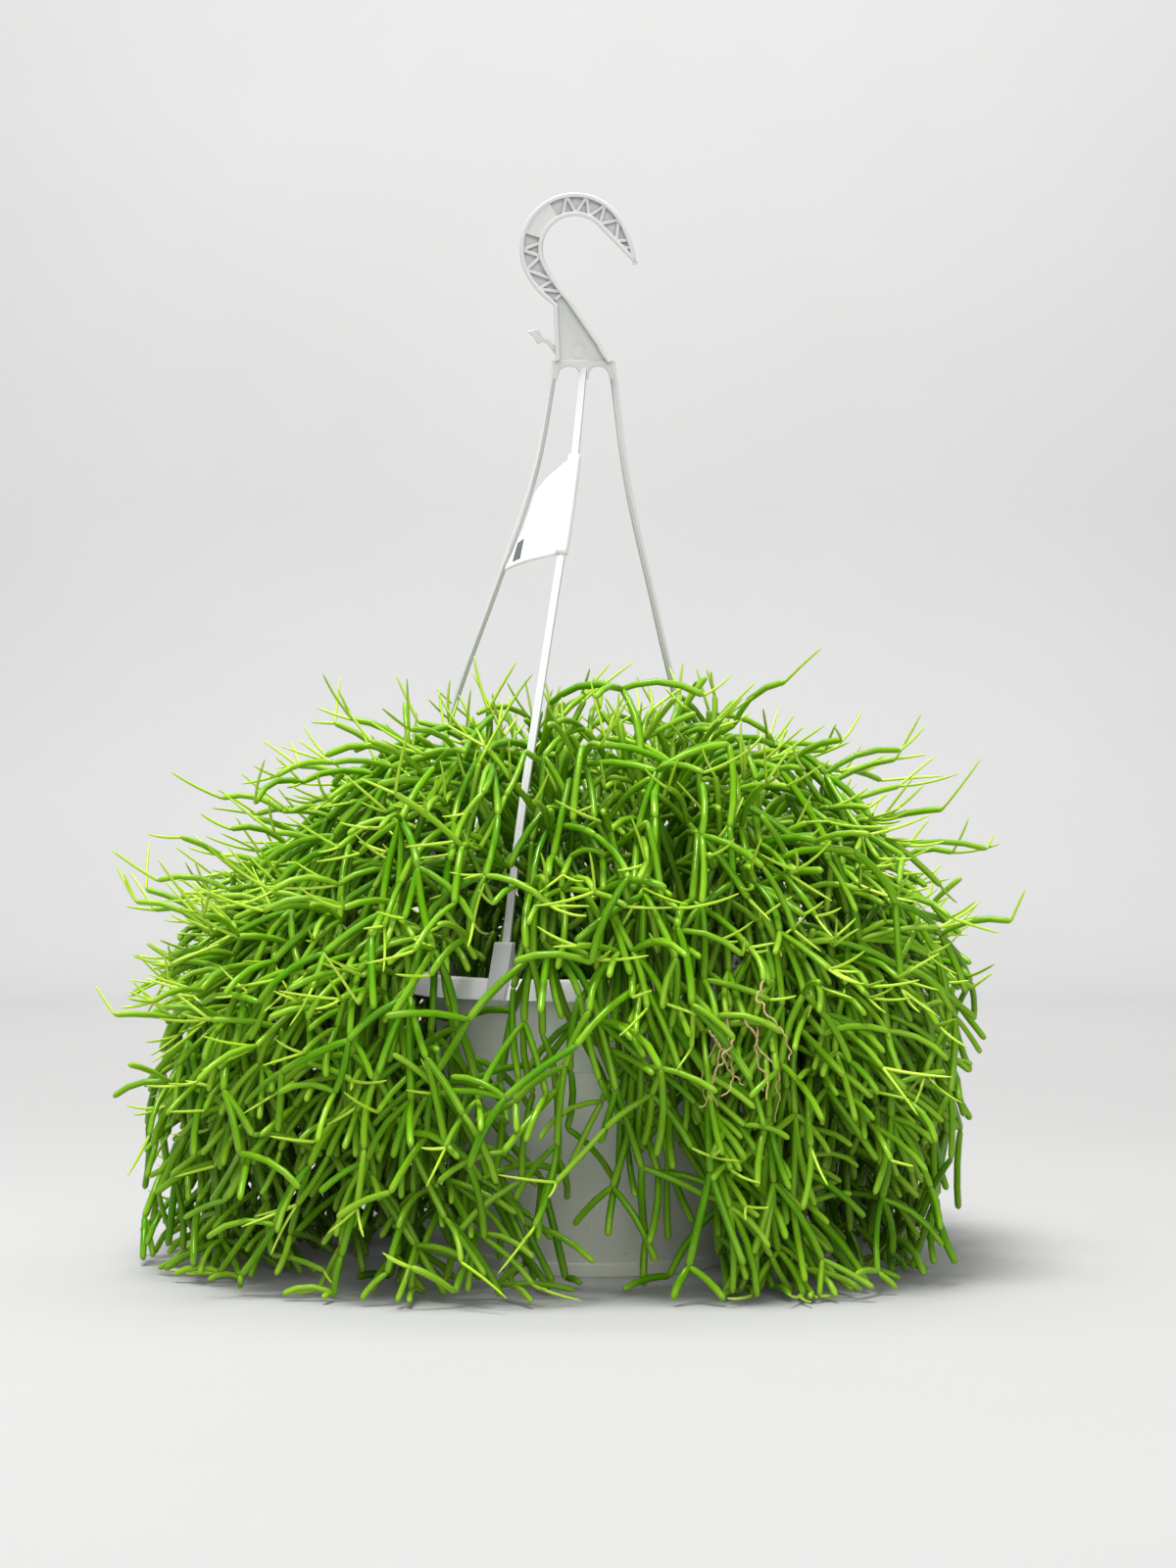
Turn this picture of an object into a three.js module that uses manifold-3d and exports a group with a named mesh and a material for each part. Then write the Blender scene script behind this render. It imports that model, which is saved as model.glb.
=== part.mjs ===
// Mistletoe cactus in a hanging pot. Millimetres, +Z up, the pot's axis is Z and its base stands on Z = 0.
// The front faces -Y. The pot, the soil, the hanger, the label and each rooted cutting are separate solids.

import * as THREE from 'three';
import { mergeVertices } from 'three/addons/utils/BufferGeometryUtils.js';
import Module from 'manifold-3d';

const wasm = await Module();
wasm.setup();

// ---------------------------------------------------------------- driving dimensions

const CLEARANCE = 0.3; // between pieces that touch

const POT_HEIGHT = 131;
const POT_SEGMENTS = 36;
const WALL = 1.3;
const FLOOR = 1.8;
const FOOT = { radius: 58.2, height: 5.8 };
const BODY = { bottomRadius: 57.4, topRadius: 72.2, height: 90.2 };
const BAND = { bottomRadius: 73.5, topRadius: 76.8 };
const RIM = { outerRadius: 85.6, topRadius: 81.8, height: 9.3, thickness: 1.9 };
const DRAIN = { count: 6, radius: 3.5, circle: 40 };

const SOIL_TOP = 116.5; // where the soil meets the wall
const SOIL_CROWN = 2; // how much higher it is in the middle

const HANGER_TOP = new THREE.Vector3(-7, 0, 410.6); // where the three straps leave the plate
const HOOK_LEAN = THREE.MathUtils.degToRad(12); // the top leans forward
const HOOK_DEPTH = 9.5;
const HOOK_CENTRE = new THREE.Vector2(-4.4, 52.7); // of the bend, from the middle strap's root
const HOOK_OUTER = 25.2;
const HOOK_INNER = 14.8;
const FLANGE = 2;
const WEB = 2.4;
const RIB = 1.5;
const PLATE_FOOT = 3.8; // thickness of the plate where the straps leave it
const STRAP = { width: 3.6, thickness: 2.2 };
const CLIP = { width: 9.5, top: 147, plate: 1.7, tongue: 1.6, tongueFoot: 123.5, circle: 79 };

// Each strap lies in the upright plane through its root on the plate and its clip on the rim. The route gives
// the distance out from the root and the height.
const STRAPS = [
  {
    name: 'front',
    root: -0.2,
    azimuth: -121.7,
    route: [[0, 412.6], [12.5, 352.5], [34.3, 282.4], [58.9, 203], [73.5, 142]],
  },
  {
    name: 'left',
    root: -13.3,
    azimuth: 158,
    route: [[0, 412.6], [10.5, 363], [30, 314], [58, 246], [67, 190], [61, 141]],
  },
  {
    name: 'right',
    root: 12.4,
    azimuth: 34,
    route: [[0, 412.6], [9.6, 357], [25.5, 303], [39.6, 258], [78.5, 142]],
  },
];

const LABEL = { bottom: 321.5, top: 367.8, thickness: 0.8, sleeve: 0.6, bow: 3.5, droop: 5.5 };

// ---------------------------------------------------------------- the plant

const SEED = 1;
const STEM_RADIUS = 2.4;
const STEM_SIDES = 3;
const STEM_ROOT = 0.45; // share of the radius that is left at a stem's root
const STEM_TIP = 0.55; // and at its tip
const CANE_LENGTH = { least: 34, most: 47 };
const FORK_LENGTH = { least: 27, most: 42 };
const FORK_ANGLE = { least: 26, most: 48 };
const GROUND = 2.9; // height of the middle line of a stem that lies on the ground
const CROWN = { radius: 72, base: 125, rise: 118, inner: 68 }; // the ring that the stems arch over
const FALL = 1.3; // how the outside falls away from the crown: 2 gives an ellipse and 1 a cone
const EASE = { least: 0.55, most: 1 }; // share of the downward run a cane follows above the crown's base

// The stems in front on the left: where they hang, their drift to the right, and their share of side stems.
const SWING = { from: -125, to: 20, depth: -40, top: 125, pull: 0.55, forks: 1.8 };

// Least distances from a stem's middle line: to a stem of its own cutting, to any other stem, to the middle
// line of a strap and to that of a clip.
const ROOM = { inCutting: 3, apart: 5.3, strap: 5.2, clip: 11.5 };
const ATTEMPTS = 14; // how often a tip looks for room

// The bare stretch in front: its two sides run from one x at the ground to another at its top, with a bend.
const BARE = { top: 118, depth: -40, left: [12, -62, 1.4], right: [50, -4, 3] };
const DARING = 0.12; // share of the stems that may hang over it or in front of the front strap
const STRAP_VIEW = { side: 6, top: 300, bottom: 120 }; // where front strap and clip stay in view
const FORK_REACH = { usual: 1.04, free: 1.17, share: 0.15 }; // how far out side stems end, as a shell

const PLUG = { radius: 9, depth: 11, top: 7, sides: 6, stemCircle: 6.3, stemFoot: 3 };
const CENTRE_CUTTINGS = { count: 5, circle: 25, turn: 54, canes: 7, shells: [0.7, 1] };
const RIM_CUTTINGS = { count: 8, circle: 55, turn: 11, canes: 6, shells: [0.14, 0.8] };

// ---------------------------------------------------------------- small helpers

const radians = THREE.MathUtils.degToRad;

// A linear congruential generator: the same seed always grows the same plant.
function randomSource(seed) {
  let state = seed;
  return () => {
    state = (state * 1664525 + 1013904223) % 4294967296;
    return state / 4294967296;
  };
}

// A closed geometry as a solid for cutting and joining, its vertices merged and its faces pointing out.
function solid(geometry) {
  const bare = geometry.clone();
  bare.deleteAttribute('normal');
  bare.deleteAttribute('uv');
  const merged = mergeVertices(bare, 1e-4);
  const place = merged.attributes.position;
  const corners = [];
  let volume = 0;
  for (let i = 0; i < merged.index.count; i += 3) {
    const [a, b, c] = [0, 1, 2].map((k) => merged.index.getX(i + k));
    if (a === b || b === c || c === a) continue;
    corners.push(a, b, c);
    const [p, q, r] = [a, b, c].map((k) => new THREE.Vector3().fromBufferAttribute(place, k));
    volume += p.dot(q.cross(r));
  }
  if (volume < 0) corners.reverse();
  const vertProperties = new Float32Array(place.array);
  const triVerts = Uint32Array.from(corners);
  return new wasm.Manifold(new wasm.Mesh({ numProp: 3, vertProperties, triVerts }));
}

function meshOf(name, shape, material) {
  const { vertProperties, triVerts } = shape.getMesh();
  const geometry = new THREE.BufferGeometry();
  geometry.setAttribute('position', new THREE.BufferAttribute(vertProperties, 3));
  geometry.setIndex(new THREE.BufferAttribute(triVerts, 1));
  geometry.computeVertexNormals();
  const mesh = new THREE.Mesh(geometry, material);
  mesh.name = name;
  return mesh;
}

function joined(solids) {
  return solids.reduce((whole, piece) => whole.add(piece));
}

function extruded(shape, depth, curveSegments = 8) {
  return new THREE.ExtrudeGeometry(shape, { depth, bevelEnabled: false, curveSegments });
}

function polygon(points) {
  return new THREE.Shape(points.map(([x, y]) => new THREE.Vector2(x, y)));
}

// A lathed solid about Z from a profile of [radius, height] points.
function turned(profile, segments) {
  const points = profile.map(([r, z]) => new THREE.Vector2(r, z));
  return solid(new THREE.LatheGeometry(points, segments).rotateX(Math.PI / 2));
}

function prism(x, y, radius, bottom, top, sides) {
  const shape = new THREE.CylinderGeometry(radius, radius, top - bottom, sides);
  return solid(shape.rotateX(Math.PI / 2).translate(x, y, (top + bottom) / 2));
}

function around(count, circle, turn = 0) {
  return Array.from({ length: count }, (_, i) => {
    const angle = turn + (i * 2 * Math.PI) / count;
    return { angle, x: circle * Math.cos(angle), y: circle * Math.sin(angle) };
  });
}

// ---------------------------------------------------------------- pot and soil

function innerRadius(z) {
  if (z < BODY.height) {
    const taper = (BODY.topRadius - BODY.bottomRadius) / (BODY.height - FOOT.height);
    return BODY.bottomRadius + taper * (z - FOOT.height) - WALL;
  }
  const taper = (BAND.topRadius - BAND.bottomRadius) / (POT_HEIGHT - BODY.height);
  return BAND.bottomRadius + taper * (z - BODY.height) - WALL;
}

function makePot() {
  const underRim = POT_HEIGHT - RIM.thickness;
  const skirtFoot = POT_HEIGHT - RIM.height;
  const profile = [
    [0, 0],
    [FOOT.radius - 0.8, 0],
    [FOOT.radius - 0.2, 0.7],
    [FOOT.radius, FOOT.height - 0.4],
    [BODY.bottomRadius, FOOT.height],
    [BODY.topRadius, BODY.height],
    [BAND.bottomRadius, BODY.height + 0.5],
    [BAND.topRadius, underRim],
    [RIM.topRadius - 0.8, underRim],
    [RIM.outerRadius - 1.5, skirtFoot],
    [RIM.outerRadius, skirtFoot],
    [RIM.topRadius + 0.8, POT_HEIGHT - 1],
    [RIM.topRadius, POT_HEIGHT],
    [innerRadius(POT_HEIGHT) + 0.6, POT_HEIGHT],
    [innerRadius(POT_HEIGHT), POT_HEIGHT - 0.7],
    [innerRadius(BODY.height + 1.2), BODY.height + 1.2],
    [innerRadius(BODY.height - 0.8), BODY.height - 0.8],
    [innerRadius(FOOT.height + 1.2), FOOT.height + 1.2],
    [BODY.bottomRadius - 2.4, FLOOR],
    [0, FLOOR],
  ];
  const holes = around(DRAIN.count, DRAIN.circle).map(({ x, y }) => prism(x, y, DRAIN.radius, -1, 3, 8));
  return turned(profile, POT_SEGMENTS).subtract(joined(holes));
}

function makeSoil(plugs) {
  const inside = (z) => [innerRadius(z) - CLEARANCE, z];
  const profile = [
    [0, FLOOR + CLEARANCE],
    [BODY.bottomRadius - 2.8, FLOOR + CLEARANCE],
    inside(FOOT.height + 1.6),
    inside(BODY.height - 1),
    inside(BODY.height + 1.5),
    inside(SOIL_TOP - 1),
    [58, SOIL_TOP + SOIL_CROWN * 0.4],
    [30, SOIL_TOP + SOIL_CROWN],
    [0, SOIL_TOP + SOIL_CROWN],
  ];
  const bottom = SOIL_TOP - PLUG.depth - CLEARANCE;
  const bore = PLUG.radius + CLEARANCE * 1.2;
  const holes = plugs.map(({ x, y }) => prism(x, y, bore, bottom, SOIL_TOP + PLUG.top, PLUG.sides));
  return turned(profile, POT_SEGMENTS).subtract(joined(holes));
}

// ---------------------------------------------------------------- hanger

function hookPoint(radius, degrees) {
  const angle = radians(degrees);
  return [HOOK_CENTRE.x + radius * Math.cos(angle), HOOK_CENTRE.y + radius * Math.sin(angle)];
}

// The outline of hook and plate, seen from the front; the origin is the middle strap's root.
function hookOutline() {
  const shape = new THREE.Shape();
  shape.moveTo(-15.2, -6);
  shape.lineTo(-13.2, 2);
  shape.lineTo(-14.2, 27.2);
  shape.quadraticCurveTo(-24.7, 34.8, ...hookPoint(HOOK_OUTER, 200));
  shape.absarc(HOOK_CENTRE.x, HOOK_CENTRE.y, HOOK_OUTER, radians(200), radians(30), true);
  shape.quadraticCurveTo(22, 57.5, 24.2, 46);
  shape.lineTo(23, 45.7);
  shape.lineTo(...hookPoint(HOOK_INNER, 43.6));
  shape.absarc(HOOK_CENTRE.x, HOOK_CENTRE.y, HOOK_INNER, radians(43.6), radians(205), false);
  shape.quadraticCurveTo(-14.4, 39.3, -6.3, 29.8);
  shape.lineTo(7.6, 9.8);
  shape.quadraticCurveTo(9.4, 5.5, 12.6, 2.2);
  shape.lineTo(14.2, -6);
  shape.lineTo(10.6, -6);
  shape.quadraticCurveTo(10.6, -0.6, 6.1, -0.6);
  shape.quadraticCurveTo(1.6, -0.6, 1.6, -6);
  shape.lineTo(-2, -6);
  shape.quadraticCurveTo(-2, -0.6, -6.7, -0.6);
  shape.quadraticCurveTo(-11.5, -0.6, -11.5, -6);
  return shape;
}

// The three hollows that leave flanges, web and ribs: over the bend, down the back, and in the plate.
function hookPockets() {
  const outer = HOOK_OUTER - FLANGE;
  const inner = HOOK_INNER + FLANGE;
  const bend = new THREE.Shape();
  bend.moveTo(...hookPoint(outer, 114));
  bend.absarc(HOOK_CENTRE.x, HOOK_CENTRE.y, outer, radians(114), radians(30), true);
  bend.quadraticCurveTo(20, 57.5, 21.4, 50.9);
  bend.lineTo(...hookPoint(inner, 43.6));
  bend.absarc(HOOK_CENTRE.x, HOOK_CENTRE.y, inner, radians(43.6), radians(114), false);
  const back = new THREE.Shape();
  back.moveTo(...hookPoint(outer, 167));
  back.lineTo(...hookPoint(inner, 167));
  back.absarc(HOOK_CENTRE.x, HOOK_CENTRE.y, inner, radians(167), radians(205), false);
  back.quadraticCurveTo(-16.3, 38.3, -9.8, 31);
  back.lineTo(-14.4, 29.4);
  back.quadraticCurveTo(-23.2, 36.2, ...hookPoint(outer, 200));
  back.absarc(HOOK_CENTRE.x, HOOK_CENTRE.y, outer, radians(200), radians(167), true);
  const plate = polygon([[-12, 26.6], [-6.2, 26.2], [4.8, 10], [6, 4], [-11, 4]]);
  return [bend, back, plate];
}

// Zig-zag ribs across the channel, each from one flange to the other.
function hookRibs() {
  const zigzag = (first, step, count) => Array.from({ length: count }, (_, i) => {
    const [start, end] = i % 2 ? [HOOK_OUTER - 1.2, HOOK_INNER + 1.2] : [HOOK_INNER + 1.2, HOOK_OUTER - 1.2];
    return [hookPoint(start, first + step * i), hookPoint(end, first + step * (i + 1))];
  });
  const ribs = [
    ...zigzag(110, -11, 7),
    ...zigzag(170, 11, 3),
    [hookPoint(HOOK_OUTER - 1.2, 203), [-14.2, 38.9]],
    [[-14.2, 38.9], [-21, 34.6]],
    [[-9.5, 33.4], [-21, 34.6]],
    [[14.5, 56.1], hookPoint(HOOK_OUTER - 1, 34)],
    [[14.5, 56.1], [20.8, 56.9]],
  ];
  return ribs.map(([[x0, z0], [x1, z1]]) => {
    const bar = new THREE.BoxGeometry(Math.hypot(x1 - x0, z1 - z0), HOOK_DEPTH - 1.6, RIB);
    return solid(bar.rotateY(-Math.atan2(z1 - z0, x1 - x0)).translate((x0 + x1) / 2, 0, (z0 + z1) / 2));
  });
}

// A shape in the hook's plane, extruded to a depth that is centred on that plane or moved towards one face.
function hookSlab(shape, depth, middle = 0) {
  return solid(extruded(shape, depth).rotateX(Math.PI / 2).translate(0, depth / 2 + middle, 0));
}

function makeHook() {
  const whole = hookSlab(hookOutline(), HOOK_DEPTH);
  const pocketDepth = (HOOK_DEPTH - WEB) / 2;
  const [bend, back, plate] = hookPockets().map((shape) => joined([-1, 1].map((side) =>
    hookSlab(shape, pocketDepth + 1, (side * (WEB + pocketDepth + 1)) / 2))));
  const ribs = joined(hookRibs());
  const peg = polygon([[-13, 4], [-13, 8], [-16.5, 11.8], [-19.5, 13.2], [-21.5, 16.6], [-26.3, 15.4],
    [-23.2, 12.6], [-21.6, 9.4], [-19.2, 10.8], [-17, 9.4]]);
  const foot = polygon([[-20, -8], [20, -8], [20, 1.4], [-20, 1.4]]);
  const footCuts = [-1, 1].map((side) => hookSlab(foot, 4, side * (2 + PLATE_FOOT / 2)));
  return joined([whole, hookSlab(peg, WEB), ribs])
    .subtract(plate)
    .subtract(bend.add(back).subtract(ribs))
    .subtract(joined(footCuts))
    .transform(leanMatrix());
}

function leanMatrix() {
  return new THREE.Matrix4().makeRotationX(HOOK_LEAN).setPosition(HANGER_TOP).elements;
}

// The plane of a strap: its root, the direction from the root to the clip, and its curve in that plane.
function strapPlane(strap) {
  const root = new THREE.Vector3(HANGER_TOP.x + strap.root, 0, 0);
  const azimuth = radians(strap.azimuth);
  const foot = new THREE.Vector3(CLIP.circle * Math.cos(azimuth), CLIP.circle * Math.sin(azimuth), 0);
  const reach = foot.distanceTo(root);
  const stretch = reach / strap.route.at(-1)[0];
  const curve = new THREE.SplineCurve(strap.route.map(([out, z]) => new THREE.Vector2(out * stretch, z)));
  return { root, heading: Math.atan2(foot.y - root.y, foot.x - root.x), curve };
}

// A flat band along a strap's curve: the side outline, offset both ways, extruded to the band's width.
function band(strap, thickness, width, from = 0, to = 1) {
  const { root, heading, curve } = strapPlane(strap);
  const steps = Math.max(3, Math.round(12 * (to - from)));
  const side = (sign) => Array.from({ length: steps + 1 }, (_, i) => {
    const t = from + ((to - from) * i) / steps;
    const along = curve.getTangent(t);
    const point = curve.getPoint(t);
    return [point.x + (sign * along.y * thickness) / 2, point.y - (sign * along.x * thickness) / 2];
  });
  const outline = polygon([...side(1), ...side(-1).reverse()]);
  return solid(extruded(outline, width).rotateX(Math.PI / 2).translate(0, width / 2, 0)
    .rotateZ(heading).translate(root.x, root.y, 0));
}

// A clip sits astride the rim: a plate outside that hooks under the skirt, and a tongue inside the pot.
function clip(strap) {
  const skirtFoot = POT_HEIGHT - RIM.height;
  const over = POT_HEIGHT + CLEARANCE;
  const outside = RIM.outerRadius + CLEARANCE + 0.1;
  const inside = 74;
  const outline = polygon([
    [outside - 2.6, skirtFoot - CLEARANCE],
    [outside, skirtFoot - CLEARANCE],
    [RIM.topRadius + 1.4, POT_HEIGHT - 1],
    [RIM.topRadius + 0.6, over],
    [inside, over],
    [inside, CLIP.tongueFoot],
    [inside - CLIP.tongue, CLIP.tongueFoot],
    [inside - CLIP.tongue, POT_HEIGHT + 2.5],
    [77.4, CLIP.top],
    [80.8, CLIP.top],
    [RIM.topRadius + 3, POT_HEIGHT + 2],
    [outside + CLIP.plate, skirtFoot + 0.6],
    [outside + 0.8, skirtFoot - 2],
    [outside - 2.6, skirtFoot - 1.6],
  ]);
  return solid(extruded(outline, CLIP.width).rotateX(Math.PI / 2).translate(0, CLIP.width / 2, 0)
    .rotateZ(radians(strap.azimuth)));
}

function makeHanger() {
  const straps = STRAPS.map((strap) => band(strap, STRAP.thickness, STRAP.width));
  return joined([makeHook(), ...straps, ...STRAPS.map(clip)]);
}

// ---------------------------------------------------------------- label

function strapPoint(strap, t) {
  const { root, heading, curve } = strapPlane(strap);
  const { x: out, y: z } = curve.getPoint(t);
  return new THREE.Vector3(root.x + out * Math.cos(heading), root.y + out * Math.sin(heading), z);
}

function strapShare(strap, height) {
  let [low, high] = [0, 1];
  for (let i = 0; i < 30; i += 1) {
    const middle = (low + high) / 2;
    if (strapPoint(strap, middle).z > height) low = middle;
    else high = middle;
  }
  return low;
}

// A sheet from the sleeve round the front strap to just clear of the left strap, with a slight bow.
function makeLabel() {
  const [front, left] = STRAPS;
  const share = (height) => strapShare(front, height);
  const room = 2 * (CLEARANCE + 0.1);
  const sleeve = room + 2 * LABEL.sleeve;
  const outer = band(front, STRAP.thickness + sleeve, STRAP.width + sleeve,
    share(LABEL.top), share(LABEL.bottom));
  const bore = band(front, STRAP.thickness + room, STRAP.width + room,
    share(LABEL.top + 3), share(LABEL.bottom - 3));
  const sheet = new THREE.BoxGeometry(1, 1, 1, 6, 3, 1);
  const place = sheet.attributes.position;
  for (let i = 0; i < place.count; i += 1) {
    const across = place.getX(i) + 0.5;
    const up = place.getY(i) + 0.5;
    const near = strapPoint(front, share(LABEL.bottom + up * (LABEL.top - LABEL.bottom)));
    const far = strapPoint(left, strapShare(left, LABEL.bottom - LABEL.droop + up * 40));
    const along = far.clone().sub(near);
    const face = new THREE.Vector3(-along.y, along.x, 0).normalize();
    if (face.y > 0) face.negate();
    const lengthwise = along.length();
    const start = 1.9 / lengthwise;
    const end = 1 - 2.6 / lengthwise;
    const point = near.addScaledVector(along, start + across * (end - start));
    point.z -= LABEL.droop * across * across * up;
    point.addScaledVector(face, LABEL.bow * Math.sin(Math.PI * across) + place.getZ(i) * LABEL.thickness);
    place.setXYZ(i, point.x, point.y, point.z);
  }
  return outer.subtract(bore).add(solid(sheet).subtract(bore));
}

// ---------------------------------------------------------------- growth

const random = randomSource(SEED);
const between = (low, high) => low + (high - low) * random();
const held = (value, limit) => Math.min(limit, Math.max(-limit, value));
const joints = []; // every grown length: its ends, its middle and the numbers of the joints it runs between
let jointCount = 0;

// How far the plant spreads past the ring that it arches over: most to the left, least to the front.
function spread(cosine, sine) {
  const front = Math.max(0, -sine);
  return 118 - 13 * cosine - 34 * front * front;
}

function signedPower(value, power) {
  return Math.sign(value) * Math.abs(value) ** power;
}

// Where a point lies in the fountain of stems: its shell (1 is the outer surface), how near it is to the
// plant's outline, the way stems run there, and the way out of the plant.
function fountain(point) {
  const radius = Math.hypot(point.x, point.y);
  const cosine = radius > 1 ? point.x / radius : 1;
  const sine = radius > 1 ? point.y / radius : 0;
  const beyond = radius - CROWN.radius;
  const wide = beyond > 0 ? spread(cosine, sine) : CROWN.inner;
  const high = point.z - CROWN.base;
  const level = beyond / wide;
  const lift = high / CROWN.rise;
  const hangs = high < 0 && beyond > 0;
  const power = beyond > 0 ? FALL : 2;
  const across = signedPower(level, power - 1) / wide;
  const above = hangs ? across * 0.1 : signedPower(lift, power - 1) / CROWN.rise;
  const length = Math.hypot(across, above) || 1;
  const flat = above / length;
  const steep = -across / length;
  const shell = hangs ? level : (Math.abs(level) ** power + Math.abs(lift) ** power) ** (1 / power);
  return {
    shell,
    reach: beyond > 0 ? shell : lift + 0.15 * (beyond / CROWN.radius),
    run: new THREE.Vector3(flat * cosine, flat * sine, steep),
    out: new THREE.Vector3(-steep * cosine, -steep * sine, flat),
    around: new THREE.Vector3(-sine, cosine, 0),
    angle: Math.atan2(sine, cosine),
  };
}

// The sideways pull on a stem that hangs in front of the pot, on its left.
function swing({ x, y, z }) {
  return x > SWING.from && x < SWING.to && y < SWING.depth && z < SWING.top ? SWING.pull : 0;
}

// The least distance between the lengths a-b and c-d.
function lengthGap(a, b, c, d) {
  const u = b.clone().sub(a);
  const v = d.clone().sub(c);
  const w = a.clone().sub(c);
  const uu = u.dot(u);
  const uv = u.dot(v);
  const vv = v.dot(v);
  const uw = u.dot(w);
  const vw = v.dot(w);
  const slack = uu * vv - uv * uv;
  const first = slack > 1e-9 ? Math.min(1, Math.max(0, (uv * vw - vv * uw) / slack)) : 0;
  const t = Math.min(1, Math.max(0, (uv * first + vw) / vv));
  const s = Math.min(1, Math.max(0, (uv * t - uw) / uu));
  return w.addScaledVector(u, s).addScaledVector(v, -t).length();
}

// The straps and clips as thick lines that no stem may touch.
const strapLines = STRAPS.flatMap((strap) => {
  const points = Array.from({ length: 13 }, (_, i) => strapPoint(strap, i / 12));
  const azimuth = radians(strap.azimuth);
  const middle = CLIP.circle + 2.5;
  const clipFoot = new THREE.Vector3(middle * Math.cos(azimuth), middle * Math.sin(azimuth), 122);
  const lines = points.slice(1).map((point, i) => ({ a: points[i], b: point, room: ROOM.strap }));
  return [...lines, { a: points.at(-1), b: clipFoot, room: ROOM.clip }];
});

// The bare stretch in front, where the pot shows below its rim: hardly any stem hangs there.
function isBare(point) {
  if (point.y > BARE.depth || point.z > BARE.top) return false;
  const share = point.z / BARE.top;
  const side = ([low, high, bend]) => low + (high - low) * share ** bend;
  return point.x > side(BARE.left) && point.x < side(BARE.right);
}

// Stems keep clear of the view of the front strap and its clip from the front.
const frontStrap = Array.from({ length: 13 }, (_, i) => strapPoint(STRAPS[0], i / 12));

function veilsStrap({ x, y, z }) {
  if (z > STRAP_VIEW.top || z < STRAP_VIEW.bottom) return false;
  const passed = frontStrap.filter((point) => point.z > z).length;
  const below = Math.min(Math.max(1, passed), frontStrap.length - 1);
  const low = frontStrap[below];
  const high = frontStrap[below - 1];
  const share = (z - low.z) / (high.z - low.z);
  const middle = low.x + (high.x - low.x) * share;
  return Math.abs(x - middle) < STRAP_VIEW.side && y < low.y + (high.y - low.y) * share;
}

function touchesPot(point) {
  const radius = Math.hypot(point.x, point.y);
  if (point.z > POT_HEIGHT + 3.4) return false;
  if (radius > RIM.outerRadius + 3.6) return false;
  const overSoil = point.z > SOIL_TOP + SOIL_CROWN + STEM_RADIUS;
  return !(overSoil && radius < innerRadius(SOIL_TOP) - 4);
}

function isFree({ point: from, joint, cutting }, to, outline, daring) {
  if (to.z < GROUND - 0.01 || fountain(to).reach > outline) return false;
  if (isBare(to) && !daring) return false;
  for (let i = 1; i <= 8; i += 1) {
    const point = from.clone().lerp(to, i / 8);
    if (touchesPot(point)) return false;
    if (veilsStrap(point) && !daring) return false;
  }
  if (strapLines.some(({ a, b, room }) => lengthGap(from, to, a, b) < room)) return false;
  const middle = from.clone().add(to).multiplyScalar(0.5);
  return joints.every((other) => {
    if (other.start === joint || other.end === joint || middle.distanceTo(other.middle) > 60) return true;
    const room = other.cutting === cutting ? ROOM.inCutting : ROOM.apart;
    return lengthGap(from, to, other.a, other.b) > room;
  });
}

// One more joint from a growing tip, near the wanted direction, or null where there is no room.
function lengthen(tip, wanted, length, outline) {
  const daring = random() < DARING;
  for (let attempt = 0; attempt < ATTEMPTS; attempt += 1) {
    const stray = 0.12 + 0.05 * attempt;
    const aim = new THREE.Vector3(between(-stray, stray), between(-stray, stray), between(-stray, stray));
    aim.add(wanted).normalize();
    const to = tip.point.clone().addScaledVector(aim, length);
    if (to.z < GROUND && tip.point.z < 24) to.z = GROUND;
    if (isFree(tip, to, outline, daring)) {
      jointCount += 1;
      const { cutting } = tip;
      const middle = tip.point.clone().add(to).multiplyScalar(0.5);
      joints.push({ a: tip.point, b: to, middle, start: tip.joint, end: jointCount, cutting });
      return { point: to, joint: jointCount, aim: to.clone().sub(tip.point).normalize(), cutting };
    }
  }
  return null;
}

// The long canes rise from each plug side by side, each steering for its own shell and heading.
function growCanes(cuttings) {
  const queue = [];
  cuttings.forEach((cutting) => {
    cutting.stems = [];
    for (let i = 0; i < cutting.canes; i += 1) {
      const share = (i + 0.5) / cutting.canes;
      const heading = cutting.angle + cutting.width * (share - 0.5) + between(-0.06, 0.06);
      const bearing = cutting.angle + 2 * Math.PI * share;
      const foot = new THREE.Vector3(cutting.x + PLUG.stemCircle * Math.cos(bearing),
        cutting.y + PLUG.stemCircle * Math.sin(bearing), SOIL_TOP + PLUG.stemFoot);
      const [least, most] = cutting.shells;
      const shell = least + (most - least) * (((i * 2 + 1) % cutting.canes) + random()) / cutting.canes;
      jointCount += 1;
      const tip = { point: foot, joint: jointCount, aim: new THREE.Vector3(0, 0, 1), cutting };
      const stem = { tips: [tip], order: 0 };
      cutting.stems.push(stem);
      queue.push({ stem, heading, shell, ease: between(EASE.least, EASE.most) });
    }
  });
  while (queue.length) {
    const cane = queue.shift();
    const tip = cane.stem.tips.at(-1);
    const here = fountain(tip.point);
    let turn = cane.heading - here.angle;
    turn -= 2 * Math.PI * Math.round(turn / (2 * Math.PI));
    if (tip.point.z > CROWN.base) here.run.z *= cane.ease;
    const wanted = tip.aim.clone().multiplyScalar(0.35)
      .addScaledVector(here.run, 0.8)
      .addScaledVector(here.out, held(2.4 * (cane.shell - here.shell), 0.6))
      .addScaledVector(here.around, held(1.6 * turn, 0.7));
    wanted.x += swing(tip.point);
    wanted.normalize();
    const next = lengthen(tip, wanted, between(CANE_LENGTH.least, CANE_LENGTH.most), 1);
    if (!next) continue;
    cane.stem.tips.push(next);
    const hasEnded = next.point.z < GROUND + 1 || (next.point.z < 105 && random() < 0.16);
    if (!hasEnded) queue.push(cane);
  }
}

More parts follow.
